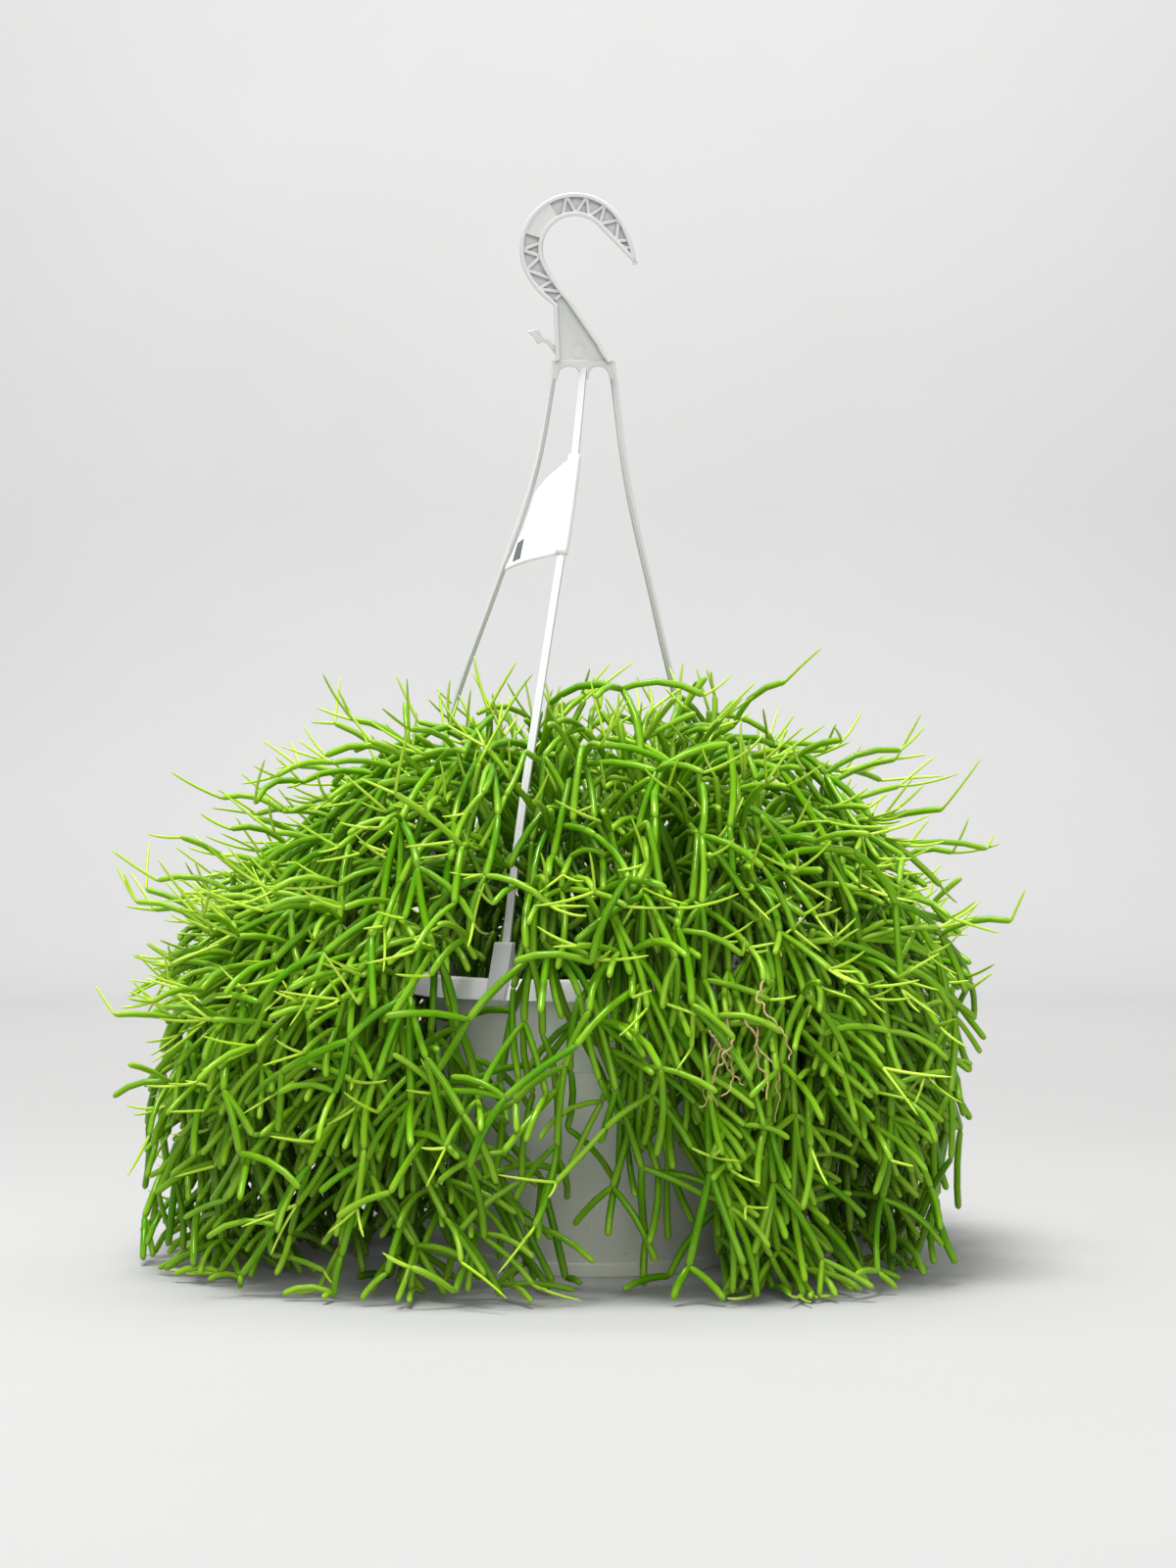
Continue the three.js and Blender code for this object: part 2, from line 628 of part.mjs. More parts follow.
// Side stems fork off the joints of the stems of one order, to both sides and outwards.
function growForks(cuttings, order, { perJoint, chance }) {
  const places = cuttings.flatMap((cutting) => cutting.stems.filter((stem) => stem.order === order)
    .flatMap((stem) => stem.tips.slice(1).map((tip, i) => ({ cutting, stem, tip, i: i + 1 }))))
    .filter(({ tip: { point } }) => point.z > 24 && (Math.hypot(point.x, point.y) > 66 || point.z > 200));
  places.forEach(({ cutting, stem, tip, i }) => {
    const isLast = i === stem.tips.length - 1;
    const count = isLast ? 2 : perJoint;
    for (let k = 0; k < count; k += 1) {
      if (random() > chance * (swing(tip.point) ? SWING.forks : 1)) continue;
      const side = (k + i) % 2 ? 1 : -1;
      const here = fountain(tip.point);
      const across = tip.aim.clone().cross(here.out).normalize().multiplyScalar(side);
      const angle = radians(between(FORK_ANGLE.least, FORK_ANGLE.most));
      const raise = radians(between(-15, 60));
      const aim = tip.aim.clone().multiplyScalar(Math.cos(angle))
        .addScaledVector(across, Math.sin(angle) * Math.cos(raise))
        .addScaledVector(here.out, Math.sin(angle) * Math.sin(raise))
        .normalize();
      const reach = random() < FORK_REACH.share ? FORK_REACH.free : FORK_REACH.usual;
      const fork = { tips: [tip], order: order + 1 };
      const lengths = random() < 0.55 ? 2 : 1;
      for (let n = 0; n < lengths; n += 1) {
        const last = fork.tips.at(-1);
        const onward = last.aim.clone().multiplyScalar(0.8).addScaledVector(fountain(last.point).run, 0.4);
        const wanted = n === 0 ? aim : onward.normalize();
        const next = lengthen(last, wanted, between(FORK_LENGTH.least, FORK_LENGTH.most), reach);
        if (!next) break;
        fork.tips.push(next);
      }
      if (fork.tips.length > 1) cutting.stems.push(fork);
    }
  });
}

// ---------------------------------------------------------------- cuttings as solids

// A curve that runs straight from joint to joint, with one equal share of its length parameter to each.
class JointedCurve extends THREE.Curve {
  constructor(points) {
    super();
    this.points = points;
  }

  getPoint(share, target = new THREE.Vector3()) {
    const place = Math.min(Math.max(share, 0), 1) * (this.points.length - 1);
    const first = Math.min(Math.floor(place), this.points.length - 2);
    return target.lerpVectors(this.points[first], this.points[first + 1], place - first);
  }

  getPointAt(share, target) {
    return this.getPoint(share, target);
  }

  getTangentAt(share, target) {
    return this.getTangent(share, target);
  }
}

// One stem with all its joints, few-sided, narrowed at its root and at its tip.
function stemSolid(points) {
  const ring = around(STEM_SIDES, STEM_RADIUS).map(({ x, y }) => new THREE.Vector2(x, y));
  const settings = { steps: points.length - 1, extrudePath: new JointedCurve(points) };
  const tube = new THREE.ExtrudeGeometry(new THREE.Shape(ring), settings);
  const place = tube.attributes.position;
  const narrowed = [{ point: points[0], by: 1 - STEM_ROOT }, { point: points.at(-1), by: 1 - STEM_TIP }];
  for (let i = 0; i < place.count; i += 1) {
    const corner = new THREE.Vector3().fromBufferAttribute(place, i);
    const end = narrowed.find(({ point }) => corner.distanceTo(point) < STEM_RADIUS * 1.3);
    if (!end) continue;
    corner.lerp(end.point, end.by);
    place.setXYZ(i, corner.x, corner.y, corner.z);
  }
  return solid(tube);
}

function cuttingSolid({ x, y, stems }) {
  const foot = prism(x, y, PLUG.radius, SOIL_TOP - PLUG.depth, SOIL_TOP + PLUG.top, PLUG.sides);
  const tubes = stems.filter(({ tips }) => tips.length > 1)
    .map(({ tips }) => stemSolid(tips.map((tip) => tip.point)));
  return wasm.Manifold.union([foot, ...tubes]);
}

// ---------------------------------------------------------------- the object

function finish(colour, roughness) {
  return new THREE.MeshStandardMaterial({ color: colour, roughness, metalness: 0 });
}

const rooted = (kind) => around(kind.count, kind.circle, radians(kind.turn))
  .map((place) => ({ ...place, ...kind, width: (2 * Math.PI) / kind.count }));
const cuttings = [...rooted(CENTRE_CUTTINGS), ...rooted(RIM_CUTTINGS)];
growCanes(cuttings);
growForks(cuttings, 0, { perJoint: 2, chance: 0.41 });
growForks(cuttings, 1, { perJoint: 1, chance: 0.1 });

const object = new THREE.Group();
object.add(meshOf('pot', makePot(), finish(0xb9bbb6, 0.45)));
object.add(meshOf('soil', makeSoil(cuttings), finish(0x2c211a, 0.95)));
object.add(meshOf('hanger', makeHanger(), finish(0xe9eae8, 0.4)));
object.add(meshOf('label', makeLabel(), finish(0xfbfbfa, 0.6)));

const greens = [0x5f9a35, 0x6ea83c, 0x558c2f, 0x79b343];
cuttings.forEach((cutting, i) => {
  const name = `cutting_${String(i + 1).padStart(2, '0')}`;
  object.add(meshOf(name, cuttingSolid(cutting), finish(greens[i % greens.length], 0.5)));
});

export default object;
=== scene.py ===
# Looks of a mistletoe cactus in its hanging pot.
# Metres, +Z up, the front faces -Y and the pot stands on Z = 0.

import math

import bmesh
import bpy
import numpy as np
from mathutils import Matrix, Vector, noise


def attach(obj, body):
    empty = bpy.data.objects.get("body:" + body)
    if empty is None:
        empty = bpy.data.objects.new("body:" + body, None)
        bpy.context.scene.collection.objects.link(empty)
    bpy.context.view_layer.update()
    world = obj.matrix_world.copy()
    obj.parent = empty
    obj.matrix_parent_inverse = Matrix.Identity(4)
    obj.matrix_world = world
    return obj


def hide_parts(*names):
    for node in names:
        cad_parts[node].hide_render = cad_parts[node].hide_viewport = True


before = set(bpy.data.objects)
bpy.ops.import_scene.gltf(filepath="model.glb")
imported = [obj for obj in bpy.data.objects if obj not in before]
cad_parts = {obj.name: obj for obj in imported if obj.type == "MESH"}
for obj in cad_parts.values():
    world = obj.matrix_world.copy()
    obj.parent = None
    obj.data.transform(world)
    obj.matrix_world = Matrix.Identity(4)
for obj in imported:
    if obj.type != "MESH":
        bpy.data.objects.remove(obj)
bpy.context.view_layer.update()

scene = bpy.context.scene
MM = 0.001

# ---------------------------------------------------------------- camera

EYE = Vector((-5.4, -1350, 186)) * MM
LENS = 67.5
HORIZON_DROP = 70 / 3000  # how far under the picture's middle the horizon lies, as a slope


def set_camera():
    camera = bpy.data.objects.new("camera", bpy.data.cameras.new("camera"))
    camera.data.lens = LENS
    camera.data.clip_end = 30
    camera.location = EYE
    camera.rotation_euler = (math.radians(90) + math.atan(HORIZON_DROP), 0, 0)
    scene.collection.objects.link(camera)
    scene.camera = camera


set_camera()

# ------------------------------------------------ sizes that the frame was built from, in millimetres

POT_HEIGHT = 131
WALL = 1.3
FLOOR = 1.8
FOOT = {"radius": 58.2, "height": 5.8}
BODY = {"bottom": 57.4, "top": 72.2, "height": 90.2}
BAND = {"bottom": 73.5, "top": 76.8}
RIM = {"outer": 85.6, "top": 81.8, "height": 9.3, "thickness": 1.9}
DRAIN = {"count": 6, "radius": 3.5, "circle": 40}
SOIL_TOP = 116.5
SOIL_CROWN = 2
HANGER_TOP = (-7, 0, 410.6)
HOOK = {"lean": math.radians(12), "centre": (-4.4, 52.7), "outer": 25.2, "inner": 14.8, "depth": 9.5,
        "flange": 2, "web": 2.4, "rib": 1.5, "foot_depth": 3.8}
PLATE = {"foot": -6.5, "arch": -0.6, "top": 2.4,
         "arches": ((11.6, 11.2, 6.1, 1.7), (-2.1, -2.1, -6.7, -12.4))}  # start, corner, top and end of each
STRAP = {"width": 3.6, "thickness": 2.2}
CLIP = {"width": 9.5, "top": 147, "plate": 1.7, "foot": 123.5, "inside": 74}
CLIP_CIRCLE = 79
CLIP_LINE = {"out": 2.5, "foot": 122}  # down a clip's middle, for stems to keep away from
LABEL = {"bottom": 321.5, "top": 367.8, "bow": 3.5, "droop": 5.5, "sag": 2.2, "far_height": 40,
         "near_gap": 1.9, "far_gap": 2.6, "thickness": 0.35}
PATCH = {"left": 0.62, "right": 0.82, "bottom": 0.07, "top": 0.31}  # the label's dark patch, as shares

STRAPS = {
    "front": {"root": -0.2, "azimuth": -121.7,
              "route": [(0, 412.6), (12.5, 352.5), (34.3, 282.4), (58.9, 203), (73.5, 142)]},
    "left": {"root": -13.3, "azimuth": 158,
             "route": [(0, 412.6), (10.5, 363), (30, 314), (58, 246), (67, 190), (61, 141)]},
    "right": {"root": 12.4, "azimuth": 34,
              "route": [(0, 412.6), (9.6, 357), (25.5, 303), (39.6, 258), (78.5, 142)]},
}
STRAP_STEPS = 12  # straight stretches that stand for a strap where stems keep away from it

SEED = 1
STEM_RADIUS = 2.4
CANE_LENGTH = (34, 47)
FORK_LENGTH = (27, 42)
FORK_ANGLE = (26, 48)
GROUND = 2.9
LANDING = 24  # lower than this, a stem that would pass the ground lies down on it
CROWN = {"radius": 72, "base": 125, "rise": 118, "inner": 68, "tilt": 0.15}
SPREAD = {"side": 118, "right": 13, "front": 34}  # how far the plant reaches past its crown
FALL = 1.3  # how round the arch is, from 1 for straight sides to 2 for a circle's
HANGING_LEAN = 0.1
EASE = (0.55, 1)
STEER = {"straight": 0.35, "run": 0.8, "shell": 2.4, "shell_most": 0.6, "turn": 1.6, "turn_most": 0.7}
CANE_TURN = 0.06  # how far a cane's heading strays from its place round the plug
CANE_END = {"below": 105, "share": 0.16}  # where a trailing cane may end at each joint, and how often
SWING = {"from": -125, "to": 20, "depth": -40, "top": 125, "pull": 0.55, "forks": 1.8}
ROOM = {"in_cutting": 3, "apart": 5.3, "strap": 5.2, "clip": 11.5}
POT_ROOM = {"above": 3.4, "beside": 3.6, "inside": 4}
NEARBY = 60  # lengths whose middles lie farther apart than this can't touch
STEPS_ALONG = 8  # points at which a new length is held against the pot and the straps
ATTEMPTS = 14
STRAY = {"least": 0.12, "more": 0.05}  # off the wanted direction, more at each attempt
DARING = 0.12
BARE = {"top": 118, "depth": -40, "left": (12, -62, 1.4), "right": (50, -4, 3)}
STRAP_VIEW = {"side": 6, "top": 300, "bottom": 120}
FORK_REACH = {"usual": 1.04, "free": 1.17, "share": 0.15}
FORK_PLACE = {"above": 24, "out": 66, "high": 200}
FORK_RAISED = (-15, 60)
FORK_ONWARD = {"straight": 0.8, "run": 0.4, "share": 0.55}  # the second length of a fork
PLUG = {"circle": 6.3, "foot": 3}
CENTRE_CUTTINGS = {"count": 5, "circle": 25, "turn": 54, "canes": 7, "shells": (0.7, 1)}
RIM_CUTTINGS = {"count": 8, "circle": 55, "turn": 11, "canes": 6, "shells": (0.14, 0.8)}

# ---------------------------------------------------------------- vectors as plain triples

UP = (0, 0, 1)


def add(a, b, share=1):
    return (a[0] + b[0] * share, a[1] + b[1] * share, a[2] + b[2] * share)


def scaled(a, share):
    return (a[0] * share, a[1] * share, a[2] * share)


def length_of(a):
    return math.sqrt(a[0] * a[0] + a[1] * a[1] + a[2] * a[2])


def unit(a):
    return scaled(a, 1 / (length_of(a) or 1))


def cross(a, b):
    return (a[1] * b[2] - a[2] * b[1], a[2] * b[0] - a[0] * b[2], a[0] * b[1] - a[1] * b[0])


def lerp(a, b, share):
    return tuple(p + (q - p) * share for p, q in zip(a, b))


def held(value, limit):
    return min(limit, max(-limit, value))


# ---------------------------------------------------------------- straps' routes


def spline_point(points, share):
    """A point on the Catmull-Rom curve through the points."""
    place = (len(points) - 1) * share
    first = min(math.floor(place), len(points) - 1)
    weight = place - first
    p0 = points[max(first - 1, 0)]
    p1 = points[first]
    p2 = points[min(first + 1, len(points) - 1)]
    p3 = points[min(first + 2, len(points) - 1)]

    def through(a, b, c, d):
        v0 = (c - a) * 0.5
        v1 = (d - b) * 0.5
        square = weight * weight
        cube = weight * square
        return (2 * b - 2 * c + v0 + v1) * cube + (-3 * b + 3 * c - 2 * v0 - v1) * square + v0 * weight + b

    return tuple(through(*row) for row in zip(p0, p1, p2, p3))


def strap_plane(strap):
    """A strap's root, the heading of its plane and its stretched route in that plane."""
    root = (HANGER_TOP[0] + strap["root"], 0)
    azimuth = math.radians(strap["azimuth"])
    foot = (CLIP_CIRCLE * math.cos(azimuth), CLIP_CIRCLE * math.sin(azimuth))
    reach = math.hypot(foot[0] - root[0], foot[1] - root[1])
    stretch = reach / strap["route"][-1][0]
    heading = math.atan2(foot[1] - root[1], foot[0] - root[0])
    return root, heading, [(out * stretch, z) for out, z in strap["route"]]


def strap_point(strap, share):
    root, heading, route = strap_plane(strap)
    out, z = spline_point(route, share)
    return (root[0] + out * math.cos(heading), root[1] + out * math.sin(heading), z)


# ---------------------------------------------------------------- growth


class Draws:
    """A linear congruential generator: the same seed always grows the same plant."""

    def __init__(self, seed):
        self.state = seed

    def random(self):
        self.state = (self.state * 1664525 + 1013904223) % 4294967296
        return self.state / 4294967296

    def between(self, low, high):
        return low + (high - low) * self.random()


def inner_radius(z):
    if z < BODY["height"]:
        taper = (BODY["top"] - BODY["bottom"]) / (BODY["height"] - FOOT["height"])
        return BODY["bottom"] + taper * (z - FOOT["height"]) - WALL
    taper = (BAND["top"] - BAND["bottom"]) / (POT_HEIGHT - BODY["height"])
    return BAND["bottom"] + taper * (z - BODY["height"]) - WALL


def spread(cosine, sine):
    """How far the plant spreads past the ring that it arches over."""
    front = max(0, -sine)
    return SPREAD["side"] - SPREAD["right"] * cosine - SPREAD["front"] * front * front


def signed_power(value, power):
    return math.copysign(abs(value) ** power, value)


def fountain(point):
    """Where a point lies in the fountain of stems, the way stems run there and the way out of the plant."""
    x, y, z = point
    radius = math.hypot(x, y)
    cosine = x / radius if radius > 1 else 1
    sine = y / radius if radius > 1 else 0
    beyond = radius - CROWN["radius"]
    wide = spread(cosine, sine) if beyond > 0 else CROWN["inner"]
    high = z - CROWN["base"]
    level = beyond / wide
    lift = high / CROWN["rise"]
    hangs = high < 0 and beyond > 0
    power = FALL if beyond > 0 else 2
    across = signed_power(level, power - 1) / wide
    above = across * HANGING_LEAN if hangs else signed_power(lift, power - 1) / CROWN["rise"]
    size = math.hypot(across, above) or 1
    flat = above / size
    steep = -across / size
    shell = level if hangs else (abs(level) ** power + abs(lift) ** power) ** (1 / power)
    return {
        "shell": shell,
        "reach": shell if beyond > 0 else lift + CROWN["tilt"] * (beyond / CROWN["radius"]),
        "run": (flat * cosine, flat * sine, steep),
        "out": (-steep * cosine, -steep * sine, flat),
        "around": (-sine, cosine, 0),
        "angle": math.atan2(sine, cosine),
    }


def swing(point):
    """The sideways pull on a stem that hangs in front of the pot, on its left."""
    x, y, z = point
    pulled = SWING["from"] < x < SWING["to"] and y < SWING["depth"] and z < SWING["top"]
    return SWING["pull"] if pulled else 0


def is_bare(point):
    """The bare stretch in front, where the pot shows below its rim."""
    x, y, z = point
    if y > BARE["depth"] or z > BARE["top"]:
        return False
    share = z / BARE["top"]
    left, right = [low + (high - low) * share ** bend for low, high, bend in (BARE["left"], BARE["right"])]
    return left < x < right


def strap_points(strap):
    return [strap_point(strap, i / STRAP_STEPS) for i in range(STRAP_STEPS + 1)]


FRONT_STRAP = strap_points(STRAPS["front"])


def veils_strap(point):
    """Whether a point hides the front strap or its clip from the front."""
    x, y, z = point
    if z > STRAP_VIEW["top"] or z < STRAP_VIEW["bottom"]:
        return False
    below = min(max(1, sum(place[2] > z for place in FRONT_STRAP)), len(FRONT_STRAP) - 1)
    low, high = FRONT_STRAP[below], FRONT_STRAP[below - 1]
    share = (z - low[2]) / (high[2] - low[2])
    middle = low[0] + (high[0] - low[0]) * share
    return abs(x - middle) < STRAP_VIEW["side"] and y < low[1] + (high[1] - low[1]) * share


def touches_pot(point):
    x, y, z = point
    radius = math.hypot(x, y)
    if z > POT_HEIGHT + POT_ROOM["above"] or radius > RIM["outer"] + POT_ROOM["beside"]:
        return False
    over_soil = z > SOIL_TOP + SOIL_CROWN + STEM_RADIUS
    return not (over_soil and radius < inner_radius(SOIL_TOP) - POT_ROOM["inside"])


def gaps(a, b, c, d):
    """The least distances between the length a-b and each of the lengths c-d."""
    u = b - a
    v = d - c
    w = a - c
    uu = u @ u
    uv = v @ u
    vv = np.einsum("ij,ij->i", v, v)
    uw = w @ u
    vw = np.einsum("ij,ij->i", v, w)
    slack = uu * vv - uv * uv
    first = np.where(slack > 1e-9, np.clip((uv * vw - vv * uw) / np.where(slack > 1e-9, slack, 1), 0, 1), 0)
    t = np.clip((uv * first + vw) / vv, 0, 1)
    s = np.clip((uv * t - uw) / uu, 0, 1)
    return np.linalg.norm(w + s[:, None] * u - t[:, None] * v, axis=1)


def strap_lines():
    """The straps and clips as thick lines that no stem may touch: their two ends and the room they take."""
    starts, ends, rooms = [], [], []
    for strap in STRAPS.values():
        points = strap_points(strap)
        azimuth = math.radians(strap["azimuth"])
        middle = CLIP_CIRCLE + CLIP_LINE["out"]
        points.append((middle * math.cos(azimuth), middle * math.sin(azimuth), CLIP_LINE["foot"]))
        starts += points[:-1]
        ends += points[1:]
        rooms += [ROOM["strap"]] * STRAP_STEPS + [ROOM["clip"]]
    return np.array(starts), np.array(ends), np.array(rooms)


class Bush:
    """Every grown length: its two ends, the joints that it runs between, and what it looks like."""

    MOST = 9000

    def __init__(self, seed):
        self.draws = Draws(seed)
        self.a = np.zeros((self.MOST, 3))
        self.b = np.zeros((self.MOST, 3))
        self.middle = np.zeros((self.MOST, 3))
        self.start = np.zeros(self.MOST, int)
        self.end = np.zeros(self.MOST, int)
        self.cutting = np.zeros(self.MOST, int)
        self.looks = []
        self.count = 0
        self.joints = 0
        self.straps = strap_lines()
        self.box = (-1000, 1000)
        self.is_fine = False

    def plant(self, cutting, foot):
        """A new stem that starts upright from the soil."""
        self.joints += 1
        tip = {"point": foot, "joint": self.joints, "aim": UP, "cutting": cutting}
        stem = {"tips": [tip], "order": 0}
        cutting["stems"].append(stem)
        return stem

    def has_room(self, tip, to, room):
        a = np.array(tip["point"])
        b = np.array(to)
        middle = (a + b) * 0.5
        n = self.count
        away = self.middle[:n] - middle
        near = np.einsum("ij,ij->i", away, away) <= NEARBY * NEARBY
        near &= (self.start[:n] != tip["joint"]) & (self.end[:n] != tip["joint"])
        found = np.nonzero(near)[0]
        if not len(found):
            return True
        own = self.cutting[found] == tip["cutting"]["number"]
        needed = np.where(own, room["in_cutting"], room["apart"])
        return bool(np.all(gaps(a, b, self.a[found], self.b[found]) > needed))

    def is_free(self, tip, to, outline, daring, room):
        if to[2] < GROUND - 0.01 or fountain(to)["reach"] > outline:
            return False
        if np.any(np.less(to, self.box[0])) or np.any(np.greater(to, self.box[1])):
            return False
        if is_bare(to) and not daring:
            return False
        if self.is_fine and is_past_flank(to):
            return False
        for i in range(1, STEPS_ALONG + 1):
            point = lerp(tip["point"], to, i / STEPS_ALONG)
            if touches_pot(point) or (veils_strap(point) and not daring):
                return False
            if self.is_fine and hides_rim(point) and not daring:
                return False
        starts, ends, rooms = self.straps
        if np.any(gaps(np.array(tip["point"]), np.array(to), starts, ends) < rooms * room["strap_share"]):
            return False
        return self.has_room(tip, to, room)

    def lengthen(self, tip, wanted, length, outline, look, room, attempts=ATTEMPTS, daring_share=DARING,
                 stray_least=STRAY["least"]):
        """One more length from a growing tip, near the wanted direction, or None where there is no room."""
        between = self.draws.between
        daring = self.draws.random() < daring_share
        for attempt in range(attempts):
            stray = stray_least + STRAY["more"] * attempt
            aim = (between(-stray, stray), between(-stray, stray), between(-stray, stray))
            aim = unit(add(aim, wanted))
            to = add(tip["point"], aim, length)
            if to[2] < GROUND and tip["point"][2] < LANDING:
                to = (to[0], to[1], GROUND)
            if self.is_free(tip, to, outline, daring, room):
                return self.record(tip, to, look)
        return None

    def record(self, tip, to, look):
        n = self.count
        self.joints += 1
        self.a[n] = tip["point"]
        self.b[n] = to
        self.middle[n] = (self.a[n] + self.b[n]) * 0.5
        self.start[n] = tip["joint"]
        self.end[n] = self.joints
        self.cutting[n] = tip["cutting"]["number"]
        self.looks.append(look)
        self.count += 1
        aim = unit(add(to, tip["point"], -1))
        return {"point": to, "joint": self.joints, "aim": aim, "cutting": tip["cutting"]}


MAIN_ROOM = {"in_cutting": ROOM["in_cutting"], "apart": ROOM["apart"], "strap_share": 1}


def rooted(kind, first_number):
    """The places of one ring of cuttings."""
    cuttings = []
    for i in range(kind["count"]):
        angle = math.radians(kind["turn"]) + i * 2 * math.pi / kind["count"]
        cuttings.append({
            **kind, "number": first_number + i, "angle": angle, "width": 2 * math.pi / kind["count"],
            "x": kind["circle"] * math.cos(angle), "y": kind["circle"] * math.sin(angle), "stems": [],
        })
    return cuttings


def steer(cane):
    """The way a cane wants to grow on: towards its own shell and heading."""
    tip = cane["stem"]["tips"][-1]
    here = fountain(tip["point"])
    turn = cane["heading"] - here["angle"]
    turn -= 2 * math.pi * math.floor(turn / (2 * math.pi) + 0.5)
    run_x, run_y, run_z = here["run"]
    if tip["point"][2] > CROWN["base"]:
        run_z *= cane["ease"]
    wanted = scaled(tip["aim"], STEER["straight"])
    wanted = add(wanted, (run_x, run_y, run_z), STEER["run"])
    outward = held(STEER["shell"] * (cane["shell"] - here["shell"]), STEER["shell_most"])
    wanted = add(wanted, here["out"], outward)
    wanted = add(wanted, here["around"], held(STEER["turn"] * turn, STEER["turn_most"]))
    return unit((wanted[0] + swing(tip["point"]), wanted[1], wanted[2]))


def grow_canes(bush, cuttings):
    """The long canes of every cutting, all growing side by side, as in the frame."""
    draws = bush.draws
    queue = []
    for cutting in cuttings:
        for i in range(cutting["canes"]):
            share = (i + 0.5) / cutting["canes"]
            heading = cutting["angle"] + cutting["width"] * (share - 0.5)
            heading += draws.between(-CANE_TURN, CANE_TURN)
            bearing = cutting["angle"] + 2 * math.pi * share
            foot = (cutting["x"] + PLUG["circle"] * math.cos(bearing),
                    cutting["y"] + PLUG["circle"] * math.sin(bearing), SOIL_TOP + PLUG["foot"])
            least, most = cutting["shells"]
            layer = (i * 2 + 1) % cutting["canes"] + draws.random()
            shell = least + (most - least) * layer / cutting["canes"]
            stem = bush.plant(cutting, foot)
            queue.append({"stem": stem, "heading": heading, "shell": shell, "ease": draws.between(*EASE)})
    while queue:
        cane = queue.pop(0)
        wanted = steer(cane)
        length = draws.between(*CANE_LENGTH)
        grown = bush.lengthen(cane["stem"]["tips"][-1], wanted, length, 1, "cane", MAIN_ROOM)
        if not grown:
            continue
        cane["stem"]["tips"].append(grown)
        z = grown["point"][2]
        has_ended = z < GROUND + 1 or (z < CANE_END["below"] and draws.random() < CANE_END["share"])
        if not has_ended:
            queue.append(cane)


def grow_forks(bush, cuttings, order, per_joint, chance):
    """Side stems off the joints of the stems of one order, as in the frame."""
    draws = bush.draws
    places = []
    for cutting in cuttings:
        for stem in [stem for stem in cutting["stems"] if stem["order"] == order]:
            for i, tip in enumerate(stem["tips"][1:], 1):
                x, y, z = tip["point"]
                is_out = math.hypot(x, y) > FORK_PLACE["out"] or z > FORK_PLACE["high"]
                if z > FORK_PLACE["above"] and is_out:
                    places.append((cutting, stem, tip, i))
    for cutting, stem, tip, i in places:
        count = 2 if i == len(stem["tips"]) - 1 else per_joint
        for k in range(count):
            if draws.random() > chance * (SWING["forks"] if swing(tip["point"]) else 1):
                continue
            side = 1 if (k + i) % 2 else -1
            here = fountain(tip["point"])
            across = scaled(unit(cross(tip["aim"], here["out"])), side)
            angle = math.radians(draws.between(*FORK_ANGLE))
            raised = math.radians(draws.between(*FORK_RAISED))
            aim = scaled(tip["aim"], math.cos(angle))
            aim = add(aim, across, math.sin(angle) * math.cos(raised))
            aim = unit(add(aim, here["out"], math.sin(angle) * math.sin(raised)))
            reach = FORK_REACH["free" if draws.random() < FORK_REACH["share"] else "usual"]
            fork = {"tips": [tip], "order": order + 1}
            for n in range(2 if draws.random() < FORK_ONWARD["share"] else 1):
                last = fork["tips"][-1]
                onward = scaled(last["aim"], FORK_ONWARD["straight"])
                onward = add(onward, fountain(last["point"])["run"], FORK_ONWARD["run"])
                wanted = aim if n == 0 else unit(onward)
                grown = bush.lengthen(last, wanted, draws.between(*FORK_LENGTH), reach, "fork", MAIN_ROOM)
                if not grown:
                    break
                fork["tips"].append(grown)
            if len(fork["tips"]) > 1:
                cutting["stems"].append(fork)


def grow_frame_stems():
    """The stems that the frame's solids hold, grown by the same rule from the same seed."""
    bush = Bush(SEED)
    cuttings = rooted(CENTRE_CUTTINGS, 0)
    cuttings += rooted(RIM_CUTTINGS, len(cuttings))
    grow_canes(bush, cuttings)
    grow_forks(bush, cuttings, 0, 2, 0.41)
    grow_forks(bush, cuttings, 1, 1, 0.1)
    return bush, cuttings


# ---------------------------------------------------------------- finer growth

FINE_ROOM = {"in_cutting": 2.6, "apart": 2.85, "strap_share": 0.8}
YOUNG_ROOM = {"in_cutting": 1.5, "apart": 1.9, "strap_share": 0.6}
RIM_VIEW = {"left": -80, "right": 0, "depth": -60, "top": 134, "bottom": 112}  # the rim that shows in front
MORE_CANES = {"count": 13, "away": (3, 13), "turn": 0.6, "shells": (-0.45, 0.04), "ease": (0.5, 1),
              "length": (27, 42)}
HANGING_CANES = {"count": 240, "above": 115, "out": (62, 150), "turn": 0.35, "shell": (0.12, 0.85),
                 "ease": 1.3, "length": (25, 40)}
CANE_LIKE = {"attempts": 8, "stray": 0.24, "end_share": 0.18}
NETS = (  # where stems start down over the pot, how many they are and how they drift
    {"left": -78, "right": 0, "top": 150, "bottom": 112, "count": 12, "drift": (-0.35, 0.6)},
    {"left": 0, "right": 68, "top": 150, "bottom": 108, "count": 20, "drift": (-0.3, 0.3)},
)
NET = {"in_front": -60, "most": 3, "straight": 0.5, "down": 0.8, "shell": 0.3, "shell_most": 0.5,
       "length": (24, 40), "daring": 0.5, "single": 0.5}
SPRAY = {"count": 150, "above": 110, "reach": 0.72, "most": 2, "rise": (-0.35, 0.75), "aside": (-0.6, 0.6),
         "straight": 0.4, "length": (24, 38), "outline": 1.36}
FLANK = {"foot": 146, "slope": 0.22}  # the right flank draws in towards its foot
FINE_BOX = {"below": 3, "beyond": (9, 3, 22)}  # how far the finer stems may pass the frame's stems
HIGH = 140  # above this the stems arch over the pot and cross each other


